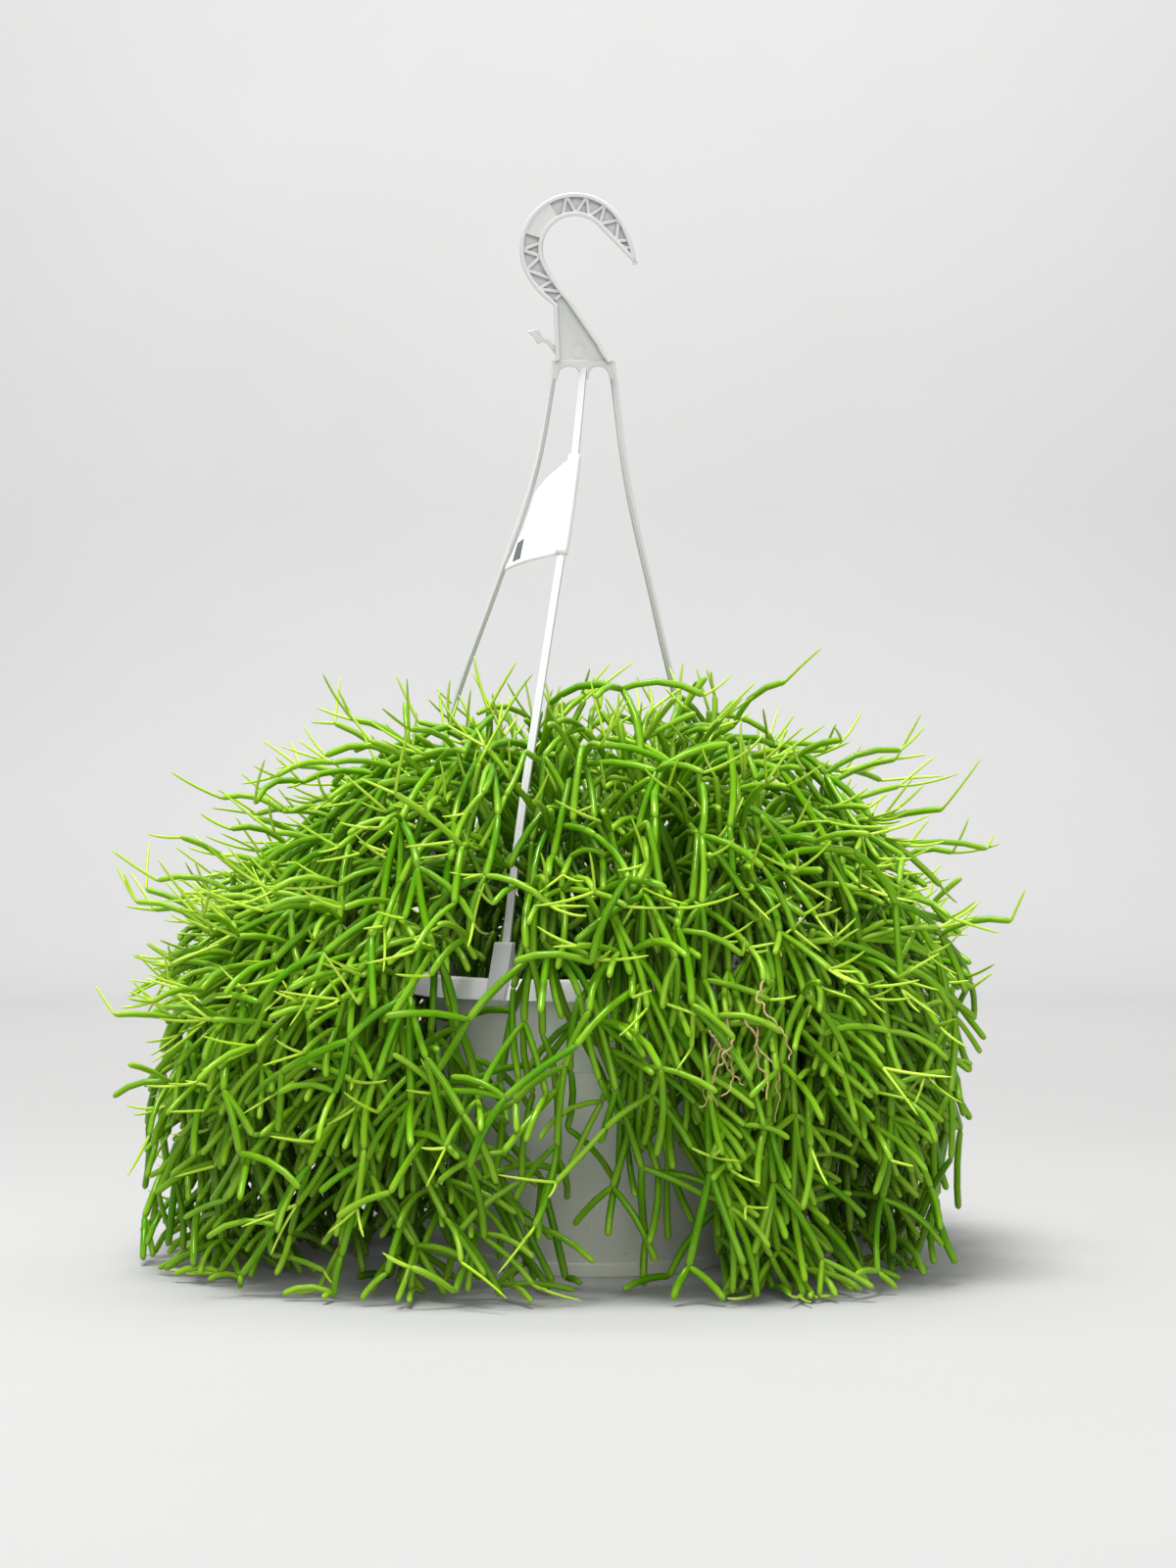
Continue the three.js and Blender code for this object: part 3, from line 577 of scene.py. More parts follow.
def hides_rim(point):
    """Whether a point hides the rim from the front where it shows."""
    x, y, z = point
    is_beside = RIM_VIEW["left"] < x < RIM_VIEW["right"]
    return is_beside and y < RIM_VIEW["depth"] and RIM_VIEW["bottom"] < z < RIM_VIEW["top"]


def is_past_flank(point):
    return point[0] > FLANK["foot"] + FLANK["slope"] * point[2]


def trail(bush, queue, lengths):
    """Lets canes grow on side by side until they end or find no room."""
    draws = bush.draws
    while queue:
        cane = queue.pop(0)
        wanted = steer(cane)
        length = draws.between(*lengths)
        grown = bush.lengthen(cane["stem"]["tips"][-1], wanted, length, 1, "fine", FINE_ROOM,
                              CANE_LIKE["attempts"], DARING, CANE_LIKE["stray"])
        if not grown:
            continue
        cane["stem"]["tips"].append(grown)
        z = grown["point"][2]
        has_ended = z < GROUND + 1 or (z < CANE_END["below"] and draws.random() < CANE_LIKE["end_share"])
        if not has_ended:
            queue.append(cane)


def grow_more_canes(bush, cuttings):
    """More canes from the soil round each plug, thinner and a little closer than the frame's."""
    draws = bush.draws
    turn = MORE_CANES["turn"]
    queue = []
    for _ in range(MORE_CANES["count"]):
        for cutting in cuttings:
            bearing = draws.between(0, 2 * math.pi)
            away = draws.between(*MORE_CANES["away"])
            foot = (cutting["x"] + away * math.cos(bearing), cutting["y"] + away * math.sin(bearing),
                    SOIL_TOP + PLUG["foot"])
            heading = cutting["angle"] + cutting["width"] * draws.between(-turn, turn)
            least, most = [edge + past for edge, past in zip(cutting["shells"], MORE_CANES["shells"])]
            shell = draws.between(least, most)
            stem = bush.plant(cutting, foot)
            ease = draws.between(*MORE_CANES["ease"])
            queue.append({"stem": stem, "heading": heading, "shell": shell, "ease": ease})
    trail(bush, queue, MORE_CANES["length"])


def grow_hanging_canes(bush, cuttings):
    """Canes that branch off near the rim and hang between the pot and the outer stems."""
    draws = bush.draws
    turn = HANGING_CANES["turn"]
    least_out, most_out = HANGING_CANES["out"]
    tips = [tip for tip in all_tips(cuttings)
            if tip["point"][2] > HANGING_CANES["above"] and least_out < radius_of(tip) < most_out]
    queue = []
    for tip in shuffled(draws, tips)[:HANGING_CANES["count"]]:
        stem = {"tips": [tip], "order": 1}
        tip["cutting"]["stems"].append(stem)
        heading = fountain(tip["point"])["angle"] + draws.between(-turn, turn)
        shell = draws.between(*HANGING_CANES["shell"])
        queue.append({"stem": stem, "heading": heading, "shell": shell, "ease": HANGING_CANES["ease"]})
    trail(bush, queue, HANGING_CANES["length"])


def grow_net(bush, cuttings, net):
    """Stems that hang apart from each other over the front of the pot, each with side stems."""
    draws = bush.draws
    tips = [tip for tip in all_tips(cuttings)
            if net["left"] < tip["point"][0] < net["right"] and tip["point"][1] < NET["in_front"]
            and net["bottom"] < tip["point"][2] < net["top"]]
    grown_tips = []
    for tip in shuffled(draws, tips)[:net["count"]]:
        last = tip
        drift = draws.between(*net["drift"])
        for _ in range(some(draws, NET["most"])):
            here = fountain(last["point"])
            wanted = add(scaled(last["aim"], NET["straight"]), (drift, 0, -1), NET["down"])
            outward = held(STEER["shell"] * (NET["shell"] - here["shell"]), NET["shell_most"])
            wanted = unit(add(wanted, here["out"], outward))
            length = draws.between(*NET["length"])
            last = bush.lengthen(last, wanted, length, 1, "fine", FINE_ROOM,
                                 attempts=8, daring_share=1, stray_least=0.2)
            if not last:
                break
            grown_tips.append(last)
    return grown_tips


def grow_sprays(bush, cuttings):
    """Longer stems that reach out of the mound at its shoulders, one or two lengths each."""
    draws = bush.draws
    tips = [tip for tip in all_tips(cuttings)
            if tip["point"][2] > SPRAY["above"] and reach_of(tip) > SPRAY["reach"]]
    grown_tips = []
    for tip in shuffled(draws, tips)[:SPRAY["count"]]:
        last = tip
        rise = draws.between(*SPRAY["rise"])
        aside = draws.between(*SPRAY["aside"])
        for _ in range(some(draws, SPRAY["most"])):
            here = fountain(last["point"])
            outward = (math.cos(here["angle"]), math.sin(here["angle"]), rise)
            wanted = add(scaled(last["aim"], SPRAY["straight"]), outward)
            wanted = unit(add(wanted, here["around"], aside))
            length = draws.between(*SPRAY["length"])
            last = bush.lengthen(last, wanted, length, SPRAY["outline"], "twig", FINE_ROOM,
                                 attempts=8, daring_share=0, stray_least=0.15)
            if not last:
                break
            grown_tips.append(last)
    return grown_tips


def lean_of(tip, outward, upward, along):
    here = fountain(tip["point"])
    lean = scaled(here["out"], outward)
    lean = add(lean, UP, upward)
    return add(lean, here["run"], along)


def grow_whorl(bush, tip, count, kind):
    """A whorl of new lengths at the end of a length."""
    draws = bush.draws
    aim = tip["aim"]
    side = unit(cross(aim, UP if abs(aim[2]) < 0.9 else (1, 0, 0)))
    other = cross(aim, side)
    first = draws.between(0, 2 * math.pi)
    lean = lean_of(tip, *kind["lean"])
    is_high = tip["point"][2] > HIGH
    if is_high:
        lean = add(lean, fountain(tip["point"])["around"], draws.between(*WHORL["swerve"]))
    is_free = draws.random() < WHORL["free_share"]
    grown_tips = []
    for k in range(count):
        angle = math.radians(draws.between(*kind["angle"]) * (WHORL["high_spread"] if is_high else 1))
        turn = first + 2 * math.pi * (k + draws.between(*WHORL["uneven"])) / count
        wanted = scaled(aim, math.cos(angle))
        wanted = add(wanted, side, math.sin(angle) * math.cos(turn))
        wanted = add(wanted, other, math.sin(angle) * math.sin(turn))
        wanted = unit(add(wanted, lean))
        length = draws.between(*kind["length"])
        outline = kind["outline"] + (WHORL["free_reach"] if is_free else 0)
        grown = bush.lengthen(tip, wanted, length, outline, kind["look"], kind["room"], kind["attempts"],
                              kind["daring"], WHORL["stray"])
        if grown:
            grown_tips.append(grown)
    return grown_tips


WHORL = {"swerve": (-0.9, 0.9), "free_share": 0.15, "free_reach": 0.13, "high_spread": 1.25,
         "uneven": (-0.2, 0.2), "stray": 0.2}
FORK = {"angle": (25, 62), "length": (23, 40), "lean": (0.18, 0.0, 0.22), "outline": 1.0, "look": "fine",
        "room": FINE_ROOM, "attempts": 6, "daring": 0.05}
NET_FORK = {**FORK, "daring": NET["daring"]}
TWIG = {"angle": (20, 60), "length": (18, 34), "lean": (0.35, 0.1, 0.05), "outline": 1.03, "look": "twig",
        "room": FINE_ROOM, "attempts": 6, "daring": 0.03}
YOUNG = {"angle": (14, 46), "length": (11, 29), "lean": (0.35, 0.3, 0.0), "outline": 1.19, "look": "young",
         "room": YOUNG_ROOM, "attempts": 4, "daring": 0.0}
SPRAY_TIP = {**YOUNG, "angle": (14, 44), "length": (14, 31), "outline": 1.6, "attempts": 6}
FORKING = {"above": 12, "out": 50, "high": 190, "single": 0.35}
TWIGGING = {"reach": 0.55, "share": 0.62, "most": 2.4}
YOUNG_GROWTH = {"reach": 0.8, "above": 120, "high_share": 0.72, "low_share": 0.16, "most": 2.2}


def all_tips(cuttings):
    return [tip for cutting in cuttings for stem in cutting["stems"] for tip in stem["tips"][1:]]


def shuffled(draws, things):
    keyed = [(draws.random(), i) for i in range(len(things))]
    return [things[i] for _, i in sorted(keyed)]


def radius_of(tip):
    return math.hypot(tip["point"][0], tip["point"][1])


def reach_of(tip):
    return fountain(tip["point"])["reach"]


def some(draws, most):
    """A whole number from 1 up to most, rounded up."""
    return 1 + int(draws.random() * most)


def one_or_two(draws, single):
    return 1 if draws.random() < single else 2


def grow_fine_stems(bush, cuttings):
    draws = bush.draws
    main = bush.b[:bush.count]
    bush.box = (main.min(axis=0) - FINE_BOX["below"], main.max(axis=0) + FINE_BOX["beyond"])
    bush.is_fine = True
    grow_more_canes(bush, cuttings)
    grow_hanging_canes(bush, cuttings)
    forks = []
    for net in NETS:
        for tip in grow_net(bush, cuttings, net):
            forks += grow_whorl(bush, tip, one_or_two(draws, NET["single"]), NET_FORK)
    sprays = grow_sprays(bush, cuttings)
    ends = [tip for tip in shuffled(draws, all_tips(cuttings)) if tip["point"][2] > FORKING["above"]]
    for tip in ends:
        if radius_of(tip) > FORKING["out"] or tip["point"][2] > FORKING["high"]:
            forks += grow_whorl(bush, tip, one_or_two(draws, FORKING["single"]), FORK)
    twigs = []
    for tip in shuffled(draws, ends + forks):
        if reach_of(tip) > TWIGGING["reach"] and draws.random() < TWIGGING["share"]:
            twigs += grow_whorl(bush, tip, some(draws, TWIGGING["most"]), TWIG)
    for tip in sprays:
        grow_whorl(bush, tip, some(draws, TWIGGING["most"]), SPRAY_TIP)
    for tip in shuffled(draws, forks + twigs):
        is_above = tip["point"][2] > YOUNG_GROWTH["above"]
        share = YOUNG_GROWTH["high_share" if is_above else "low_share"]
        if reach_of(tip) > YOUNG_GROWTH["reach"] and draws.random() < share:
            grow_whorl(bush, tip, some(draws, YOUNG_GROWTH["most"]), YOUNG)


# ---------------------------------------------------------------- stems as solids

SIDES = 6
STEM_POLE = 0.16  # how far the middle of a length's end stands out, in radii
BOW = {"mature": 0.065, "young": 0.035}  # shares of a length
LIFT = {"mature": 0.1, "young": -0.03}
BOW_GROUND = 2.2
YOUNG_FROM = 0.9  # from this share of yellow-green up, a length tapers like a young one
FOOT_DEPTH = 7  # how deep a stem's foot stands in the soil
LOOKS = {  # radius in millimetres, share of the young yellow-green
    "cane": (1.68, 0.0),
    "fork": (1.62, 0.03),
    "fine": (1.52, 0.08),
    "twig": (1.36, 0.22),
    "young": (0.66, 1.0),
}
# Each ring of a length: its share of the way, its distance past that in radii, its radius as a share.
MATURE_RINGS = [(0, 0, 0.58), (0, 0.8, 0.86), (0.16, 0, 0.95), (0.42, 0, 1), (0.72, 0, 1.02), (1, -1.4, 1),
                (1, -0.5, 0.86), (1, 0, 0.48)]
YOUNG_RINGS = [(0, 0, 0.75), (0, 0.7, 1), (0.2, 0, 1.05), (0.42, 0, 1), (0.64, 0, 0.9), (0.82, 0, 0.75),
               (0.93, 0, 0.55), (1, 0, 0.25)]


def unit_stem():
    """One straight length with a ring of vertices at each whole height and a pole at both ends."""
    steps = len(MATURE_RINGS) - 1
    bm = bmesh.new()
    bmesh.ops.create_cone(bm, cap_ends=True, cap_tris=True, segments=SIDES, radius1=1, radius2=1, depth=steps)
    upright = [edge for edge in bm.edges if abs(edge.verts[0].co.z - edge.verts[1].co.z) > steps * 0.5]
    bmesh.ops.subdivide_edges(bm, edges=upright, cuts=steps - 1)
    bmesh.ops.translate(bm, verts=bm.verts, vec=(0, 0, steps / 2))
    return mesh_from(bm, "unit_stem", is_smooth=True)


def repeated(template, count):
    """A mesh of that many copies of the template, one after the other."""
    holder = bpy.data.objects.new("holder", template)
    scene.collection.objects.link(holder)
    row = holder.modifiers.new("row", "ARRAY")
    row.use_relative_offset = False
    row.use_constant_offset = True
    row.constant_offset_displace = (10, 0, 0)
    row.count = count
    bpy.context.view_layer.update()
    mesh = bpy.data.meshes.new_from_object(holder.evaluated_get(bpy.context.evaluated_depsgraph_get()))
    bpy.data.objects.remove(holder)
    return mesh


def bent(template_places, starts, ends, radii, young, bows, offsets, mature_rings=MATURE_RINGS):
    """Places of all the copies' vertices, each copy bent from its start to its end, and their skin places."""
    heights = np.rint(template_places[:, 2]).astype(int)
    is_pole = np.hypot(template_places[:, 0], template_places[:, 1]) < 0.5
    top = heights.max()

    def table(rings):
        rows = np.array(rings)[heights]
        rows[is_pole & (heights == 0), 1] -= STEM_POLE
        rows[is_pole & (heights == top), 1] += STEM_POLE
        rows[is_pole, 2] = 0
        return rows

    is_young = young[:, None, None] > YOUNG_FROM
    rows = np.where(is_young, table(YOUNG_RINGS)[None], table(mature_rings)[None])
    chord = ends - starts
    size = np.linalg.norm(chord, axis=1)
    along = rows[:, :, 0] * size[:, None] + rows[:, :, 1] * radii[:, None]
    share = along / size[:, None]
    bow = 4 * share * (1 - share)
    slope = 4 * (1 - 2 * share)
    way = chord[:, None, :] + bows[:, None, :] * slope[:, :, None]
    way /= np.linalg.norm(way, axis=2)[:, :, None]
    helper = np.where(np.abs(chord[:, 2:3]) > 0.8 * size[:, None], [[1.0, 0, 0]], [[0, 0, 1.0]])
    side = np.cross(way, np.broadcast_to(helper[:, None, :], way.shape))
    side /= np.linalg.norm(side, axis=2)[:, :, None]
    other = np.cross(way, side)
    reach = rows[:, :, 2] * radii[:, None]
    across = template_places[None, :, 0] * reach
    over = template_places[None, :, 1] * reach
    middle = starts[:, None, :] + chord[:, None, :] * share[:, :, None] + bows[:, None, :] * bow[:, :, None]
    # Other is way crossed with side, in that order, so that the copies' faces point out.
    places = middle + side * across[:, :, None] + other * over[:, :, None]
    skin = np.stack([across, over, along + offsets[:, None]], axis=2)
    return places, skin, share


def bows_of(starts, ends, young, draws):
    """How far each length's middle lies off its chord: mature lengths arch, young ones curve upwards."""
    chord = ends - starts
    size = np.linalg.norm(chord, axis=1)
    level = np.hypot(chord[:, 0], chord[:, 1]) / size
    bows = np.array([[draws.between(-1, 1) for _ in range(3)] for _ in range(len(starts))])
    is_young = young > YOUNG_FROM
    bows *= np.where(is_young, BOW["young"], BOW["mature"])[:, None] * size[:, None]
    bows[:, 2] += np.where(is_young, LIFT["young"], LIFT["mature"]) * size * level
    along = np.einsum("ij,ij->i", bows, chord) / (size * size)
    bows -= along[:, None] * chord
    bows[:, 2] = np.maximum(bows[:, 2], BOW_GROUND - np.minimum(starts[:, 2], ends[:, 2]))
    return bows


def mesh_from(bm, name, is_smooth=False):
    """Ends the building of a mesh, its faces turned outwards."""
    bmesh.ops.recalc_face_normals(bm, faces=bm.faces)
    for face in bm.faces:
        face.smooth = is_smooth
    mesh = bpy.data.meshes.new(name)
    bm.to_mesh(mesh)
    bm.free()
    return mesh


def set_attribute(mesh, name, values):
    attribute = mesh.attributes.new(name, "FLOAT_VECTOR", "POINT")
    attribute.data.foreach_set("vector", np.ascontiguousarray(values, dtype=np.float32).ravel())


OVER_POT = {"side": 75, "depth": -55, "top": 125, "openness": 0.85}


def openness(point):
    """0 deep inside the plant, 1 on its outside, for the painted shade on the stems; stems over the front of
    the pot count as nearly outside.
    """
    x, y, z = point
    is_over_pot = abs(x) < OVER_POT["side"] and y < OVER_POT["depth"] and z < OVER_POT["top"]
    return max(fountain(point)["reach"], OVER_POT["openness"] if is_over_pot else 0)


def make_stems(bush, number, template, draws):
    """One finer piece for all the lengths of one cutting."""
    chosen = np.nonzero(bush.cutting[:bush.count] == number)[0]
    starts = bush.a[chosen].copy()
    ends = bush.b[chosen]
    looks = [LOOKS[bush.looks[i]] for i in chosen]
    radii = np.array([radius * draws.between(0.92, 1.08) for radius, _ in looks])
    young = np.array([share for _, share in looks])
    is_foot = np.abs(starts[:, 2] - SOIL_TOP - PLUG["foot"]) < 1e-6
    starts[is_foot, 2] -= FOOT_DEPTH
    offsets = np.array([draws.between(0, 500) for _ in chosen])
    hues = np.array([draws.random() for _ in chosen])
    shells = np.array([openness(tuple(point)) for point in ends])
    bows = bows_of(starts, ends, young, draws)
    places, skin, share = bent(places_of(template), starts, ends, radii, young, bows, offsets)

    def per_vertex(values):
        return np.broadcast_to(values[:, None], share.shape)

    mesh = repeated(template, len(chosen))
    move_to(mesh, places * MM)
    set_attribute(mesh, "skin", skin.reshape(-1, 3))
    nature = np.stack([per_vertex(hues), per_vertex(young), np.clip(share, 0, 1)], axis=2)
    set_attribute(mesh, "nature", nature.reshape(-1, 3))
    # How open each length's end lies, which the skin turns into painted shade inside the plant.
    depth = per_vertex(np.clip(shells, 0, 1.2))
    set_attribute(mesh, "place", np.stack([depth, depth, depth], axis=2).reshape(-1, 3))
    return mesh


def places_of(mesh):
    places = np.zeros(len(mesh.vertices) * 3)
    mesh.vertices.foreach_get("co", places)
    return places.reshape(-1, 3)


def move_to(mesh, places):
    mesh.vertices.foreach_set("co", places.astype(np.float32).ravel())
    mesh.update()


# ---------------------------------------------------------------- shader maths


class Value:
    """A shader socket that arithmetic works on: each operation adds its Math node."""

    def __init__(self, paint, socket):
        self.paint = paint
        self.socket = socket

    def maths(self, operation, other):
        return self.paint.node("ShaderNodeMath", {"operation": operation}, self, other)

    def __add__(self, other):
        return self.maths("ADD", other)

    __radd__ = __add__

    def __sub__(self, other):
        return self.maths("SUBTRACT", other)

    def __rsub__(self, other):
        return self.paint.node("ShaderNodeMath", {"operation": "SUBTRACT"}, other, self)

    def __mul__(self, other):
        return self.maths("MULTIPLY", other)

    def clipped(self):
        return self.paint.node("ShaderNodeClamp", {}, self, 0.0, 1.0)

    def stepped(self, low, high):
        """0 under low and 1 over high, smooth between."""
        smooth = {"interpolation_type": "SMOOTHSTEP"}
        return self.paint.node("ShaderNodeMapRange", smooth, self, low, high, 0.0, 1.0)


class Paint:
    """A material with one Principled shader, and the calls that feed it."""

    def __init__(self, name, **uniform):
        self.material = bpy.data.materials.new(name)
        self.material.use_nodes = True
        self.tree = self.material.node_tree
        self.shader = self.tree.nodes["Principled BSDF"]
        for socket, value in uniform.items():
            self.shader.inputs[socket.replace("_", " ")].default_value = value

    def node(self, kind, settings, *inputs, out=0, named=None):
        """A node of that type: its settings first, then its sockets in order, then its sockets by name."""
        made = self.tree.nodes.new(kind)
        for key, value in settings.items():
            setattr(made, key, value)
        sockets = [socket for socket in made.inputs if socket.enabled]
        for socket, value in zip(sockets, inputs):
            self.feed(socket, value)
        for key, value in (named or {}).items():
            self.feed(made.inputs[key], value)
        return Value(self, [socket for socket in made.outputs if socket.enabled][out])

    def feed(self, socket, value):
        if isinstance(value, Value):
            self.tree.links.new(value.socket, socket)
        else:
            socket.default_value = value

    def set(self, socket, value):
        self.feed(self.shader.inputs[socket], value)

    def place(self):
        return self.node("ShaderNodeTexCoord", {}, out=3)

    def attribute(self, name):
        return self.node("ShaderNodeAttribute", {"attribute_name": name}, out=1)

    def parts(self, vector):
        split = self.node("ShaderNodeSeparateXYZ", {}, vector)
        outputs = split.socket.node.outputs
        return [Value(self, outputs[i]) for i in range(3)]

    def mapped(self, vector, scale):
        return self.node("ShaderNodeMapping", {}, vector, named={"Scale": scale})

    def noise(self, vector, scale, detail, roughness=0.55):
        named = {"Scale": scale, "Detail": detail, "Roughness": roughness}
        return self.node("ShaderNodeTexNoise", {}, vector, named=named)

    def cells(self, vector, scale):
        return self.node("ShaderNodeTexVoronoi", {}, vector, named={"Scale": scale})

    def mix(self, share, first, second):
        settings = {"data_type": "RGBA"}
        return self.node("ShaderNodeMix", settings, share, rgba(first), rgba(second))

    def bump(self, height, strength, distance):
        named = {"Height": height, "Strength": strength, "Distance": distance}
        self.set("Normal", self.node("ShaderNodeBump", {}, named=named))


def rgba(colour):
    return colour if isinstance(colour, Value) else (*colour, 1.0)


# ---------------------------------------------------------------- materials


def stem_skin():
    """Satin green skin: painted shade darkens it inside the plant; paler and yellower where it is young, with
    fine streaks.
    """
    paint = Paint("stem_skin", Specular_IOR_Level=0.24, Specular_Tint=(1.0, 1.0, 0.6, 1.0))
    skin = paint.attribute("skin")
    hue, young, share = paint.parts(paint.attribute("nature"))
    depth, _, _ = paint.parts(paint.attribute("place"))
    streaks = paint.noise(paint.mapped(skin, (0.9, 0.9, 0.09)), 1.0, 3.0)
    clouds = paint.noise(paint.place(), 14.0, 2.0)
    # Painted shade: lengths deep inside the plant turn towards the dark green, open ones keep the fresh
    # green; streaks and clouds vary it.
    outer = depth.stepped(0.5, 1.02)
    deep = paint.mix(hue, (0.004, 0.044, 0.0005), (0.015, 0.088, 0.0005))
    fresh = paint.mix(hue, (0.076, 0.300, 0.0005), (0.180, 0.430, 0.001))
    green = paint.mix((outer * 0.62 + streaks * 0.45 + clouds * 0.5 - 0.42).clipped(), deep, fresh)
    pale = paint.mix((share.stepped(0.55, 1.0) * 0.35).clipped(), green, (0.28, 0.50, 0.03))
    grown = paint.mix(young.clipped(), pale, paint.mix(hue, (0.32, 0.53, 0.02), (0.47, 0.68, 0.07)))
    joint = 1 - share.stepped(0.0, 0.05)
    flecks = 1 - paint.cells(paint.mapped(skin, (1.0, 1.0, 0.45)), 0.55).stepped(0.10, 0.2)
    marked = paint.mix(joint * 0.5, grown, (0.12, 0.17, 0.03))
    marked = paint.mix(flecks * 0.2, marked, (0.42, 0.52, 0.12))
    paint.set("Base Color", marked)
    paint.set("Roughness", (0.12 + streaks * 0.14).clipped())
    paint.bump(streaks * 0.7 + flecks * 0.5, 0.25, 0.0003)
    return paint.material


def pot_plastic():
    paint = Paint("pot_plastic", Specular_IOR_Level=0.5)
    place = paint.place()
    _, _, height = paint.parts(place)
    grain = paint.noise(place, 900.0, 2.0)
    dust = paint.noise(place, 26.0, 5.0, 0.65)
    specks = 1 - paint.cells(place, 130.0).stepped(0.04, 0.11)
    patch = paint.noise(place, 9.0, 2.0).stepped(0.45, 0.75)
    rim = height.stepped(0.1205, 0.1225)
    # Painted shade and light: the body is painted darker below and paler on its upper band, and its greenish
    # tint is a painted reflection of green surroundings; dust varies the tone.
    shaded_lower = paint.mix(dust, (0.50, 0.53, 0.445), (0.57, 0.60, 0.52))
    lit_upper = paint.mix(dust, (0.89, 0.93, 0.82), (0.94, 0.96, 0.89))
    body = paint.mix(height.stepped(0.05, 0.1), shaded_lower, lit_upper)
    colour = paint.mix(rim, body, (0.96, 0.965, 0.94))
    colour = paint.mix(patch * 0.22 * (1 - rim), colour, (0.46, 0.48, 0.39))
    low = 1 - height.stepped(0.0, 0.05)
    colour = paint.mix(low * dust * 0.5, colour, (0.30, 0.28, 0.22))
    colour = paint.mix(specks * patch * 0.6, colour, (0.16, 0.13, 0.09))
    paint.set("Base Color", colour)
    paint.set("Roughness", (0.34 + dust * 0.25).clipped())
    paint.bump(grain * 0.4 + dust, 0.12, 0.0004)
    return paint.material


def hanger_plastic():
    paint = Paint("hanger_plastic", Specular_IOR_Level=0.5)
    place = paint.place()
    clouds = paint.noise(place, 60.0, 3.0)
    grain = paint.noise(place, 1400.0, 2.0)
    colour = paint.mix(clouds, (0.57, 0.575, 0.57), (0.62, 0.62, 0.615))
    paint.set("Base Color", colour)
    paint.set("Roughness", (0.27 + clouds * 0.2).clipped())
    paint.bump(grain + clouds * 0.5, 0.1, 0.0003)
    return paint.material


def potting_soil():
    paint = Paint("potting_soil", Specular_IOR_Level=0.2)
    place = paint.place()
    crumbs = paint.cells(place, 330.0)
    lumps = paint.noise(place, 150.0, 5.0, 0.7)
    colour = paint.mix(lumps, (0.018, 0.012, 0.008), (0.085, 0.058, 0.038))
    chips = paint.noise(place, 420.0, 2.0).stepped(0.66, 0.72)
    colour = paint.mix(chips * 0.7, colour, (0.24, 0.18, 0.11))
    paint.set("Base Color", colour)
    paint.set("Roughness", (0.85 + lumps * 0.15).clipped())
    paint.bump(crumbs + lumps, 0.7, 0.002)
    return paint.material


def label_paper():
    """White sheet with a faint shade and one dark patch."""
    paint = Paint("label_paper", Specular_IOR_Level=0.35)
    clouds = paint.noise(paint.place(), 220.0, 3.0)
    across, up, _ = paint.parts(paint.attribute("print"))
    inside = across.stepped(-0.01, 0.01) * (1 - across.stepped(0.99, 1.01))
    inside = inside * up.stepped(-0.01, 0.01) * (1 - up.stepped(0.99, 1.01))
    paper = paint.mix(clouds, (0.86, 0.87, 0.87), (0.91, 0.91, 0.91))
    paint.set("Base Color", paint.mix(inside * 0.97, paper, (0.10, 0.11, 0.11)))
    paint.set("Roughness", (0.42 + clouds * 0.15).clipped())
    return paint.material


def dry_root():
    paint = Paint("dry_root", Specular_IOR_Level=0.25)
    place = paint.place()
    fibres = paint.noise(place, 500.0, 4.0)
    paint.set("Base Color", paint.mix(fibres, (0.25, 0.19, 0.06), (0.56, 0.47, 0.20)))
    paint.set("Roughness", (0.65 + fibres * 0.25).clipped())
    paint.bump(fibres, 0.5, 0.0004)
    return paint.material


def floor_paint():
    """Matt grey, paler on the wall behind than under the object."""
    paint = Paint("floor_paint", Specular_IOR_Level=0.2)
    place = paint.place()
    clouds = paint.noise(place, 2.5, 4.0)
    _, back, _ = paint.parts(place)
    near = paint.mix(clouds, (0.375, 0.375, 0.37), (0.405, 0.405, 0.40))
    far = paint.mix(clouds, (0.515, 0.515, 0.51), (0.555, 0.555, 0.55))
    paint.set("Base Color", paint.mix(back.stepped(0.6, 2.6), near, far))
    paint.set("Roughness", (0.75 + clouds * 0.15).clipped())
    return paint.material


# ---------------------------------------------------------------- making pieces


def add_piece(name, mesh, material, slot, *nodes):
    """Puts a finished mesh in the scene as a piece that rides on the root and stands for those nodes."""
    piece = bpy.data.objects.new(name, mesh)
    scene.collection.objects.link(piece)
    mesh.materials.clear()
    mesh.materials.append(material)
    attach(piece, "root")
    if nodes:
        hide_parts(*nodes)


def turned(name, profile, segments):
    """A closed mesh spun about Z from a profile of (radius, height) points in millimetres."""
    bm = bmesh.new()
    points = [bm.verts.new((r * MM, 0, z * MM)) for r, z in profile]
    for first, second in zip(points, points[1:]):
        bm.edges.new((first, second))
    bmesh.ops.spin(bm, geom=bm.verts[:] + bm.edges[:], axis=(0, 0, 1), cent=(0, 0, 0), angle=2 * math.pi,
                   steps=segments, use_merge=True)
    bmesh.ops.remove_doubles(bm, verts=bm.verts, dist=1e-6)
    return mesh_from(bm, name, is_smooth=True)


def rounded(points, radius, steps=3):
    """The profile with each inner corner cut by a small arc."""
    outline = [points[0]]
    for before, corner, after in zip(points, points[1:], points[2:]):
        ends = []
        for other in (before, after):
            way = (other[0] - corner[0], other[1] - corner[1])
            size = math.hypot(*way)
            reach = min(radius, size * 0.45)
            ends.append((corner[0] + way[0] / size * reach, corner[1] + way[1] / size * reach))
        outline += [ends[0]] + quadratic(ends[0], corner, ends[1], steps)
    return outline + [points[-1]]


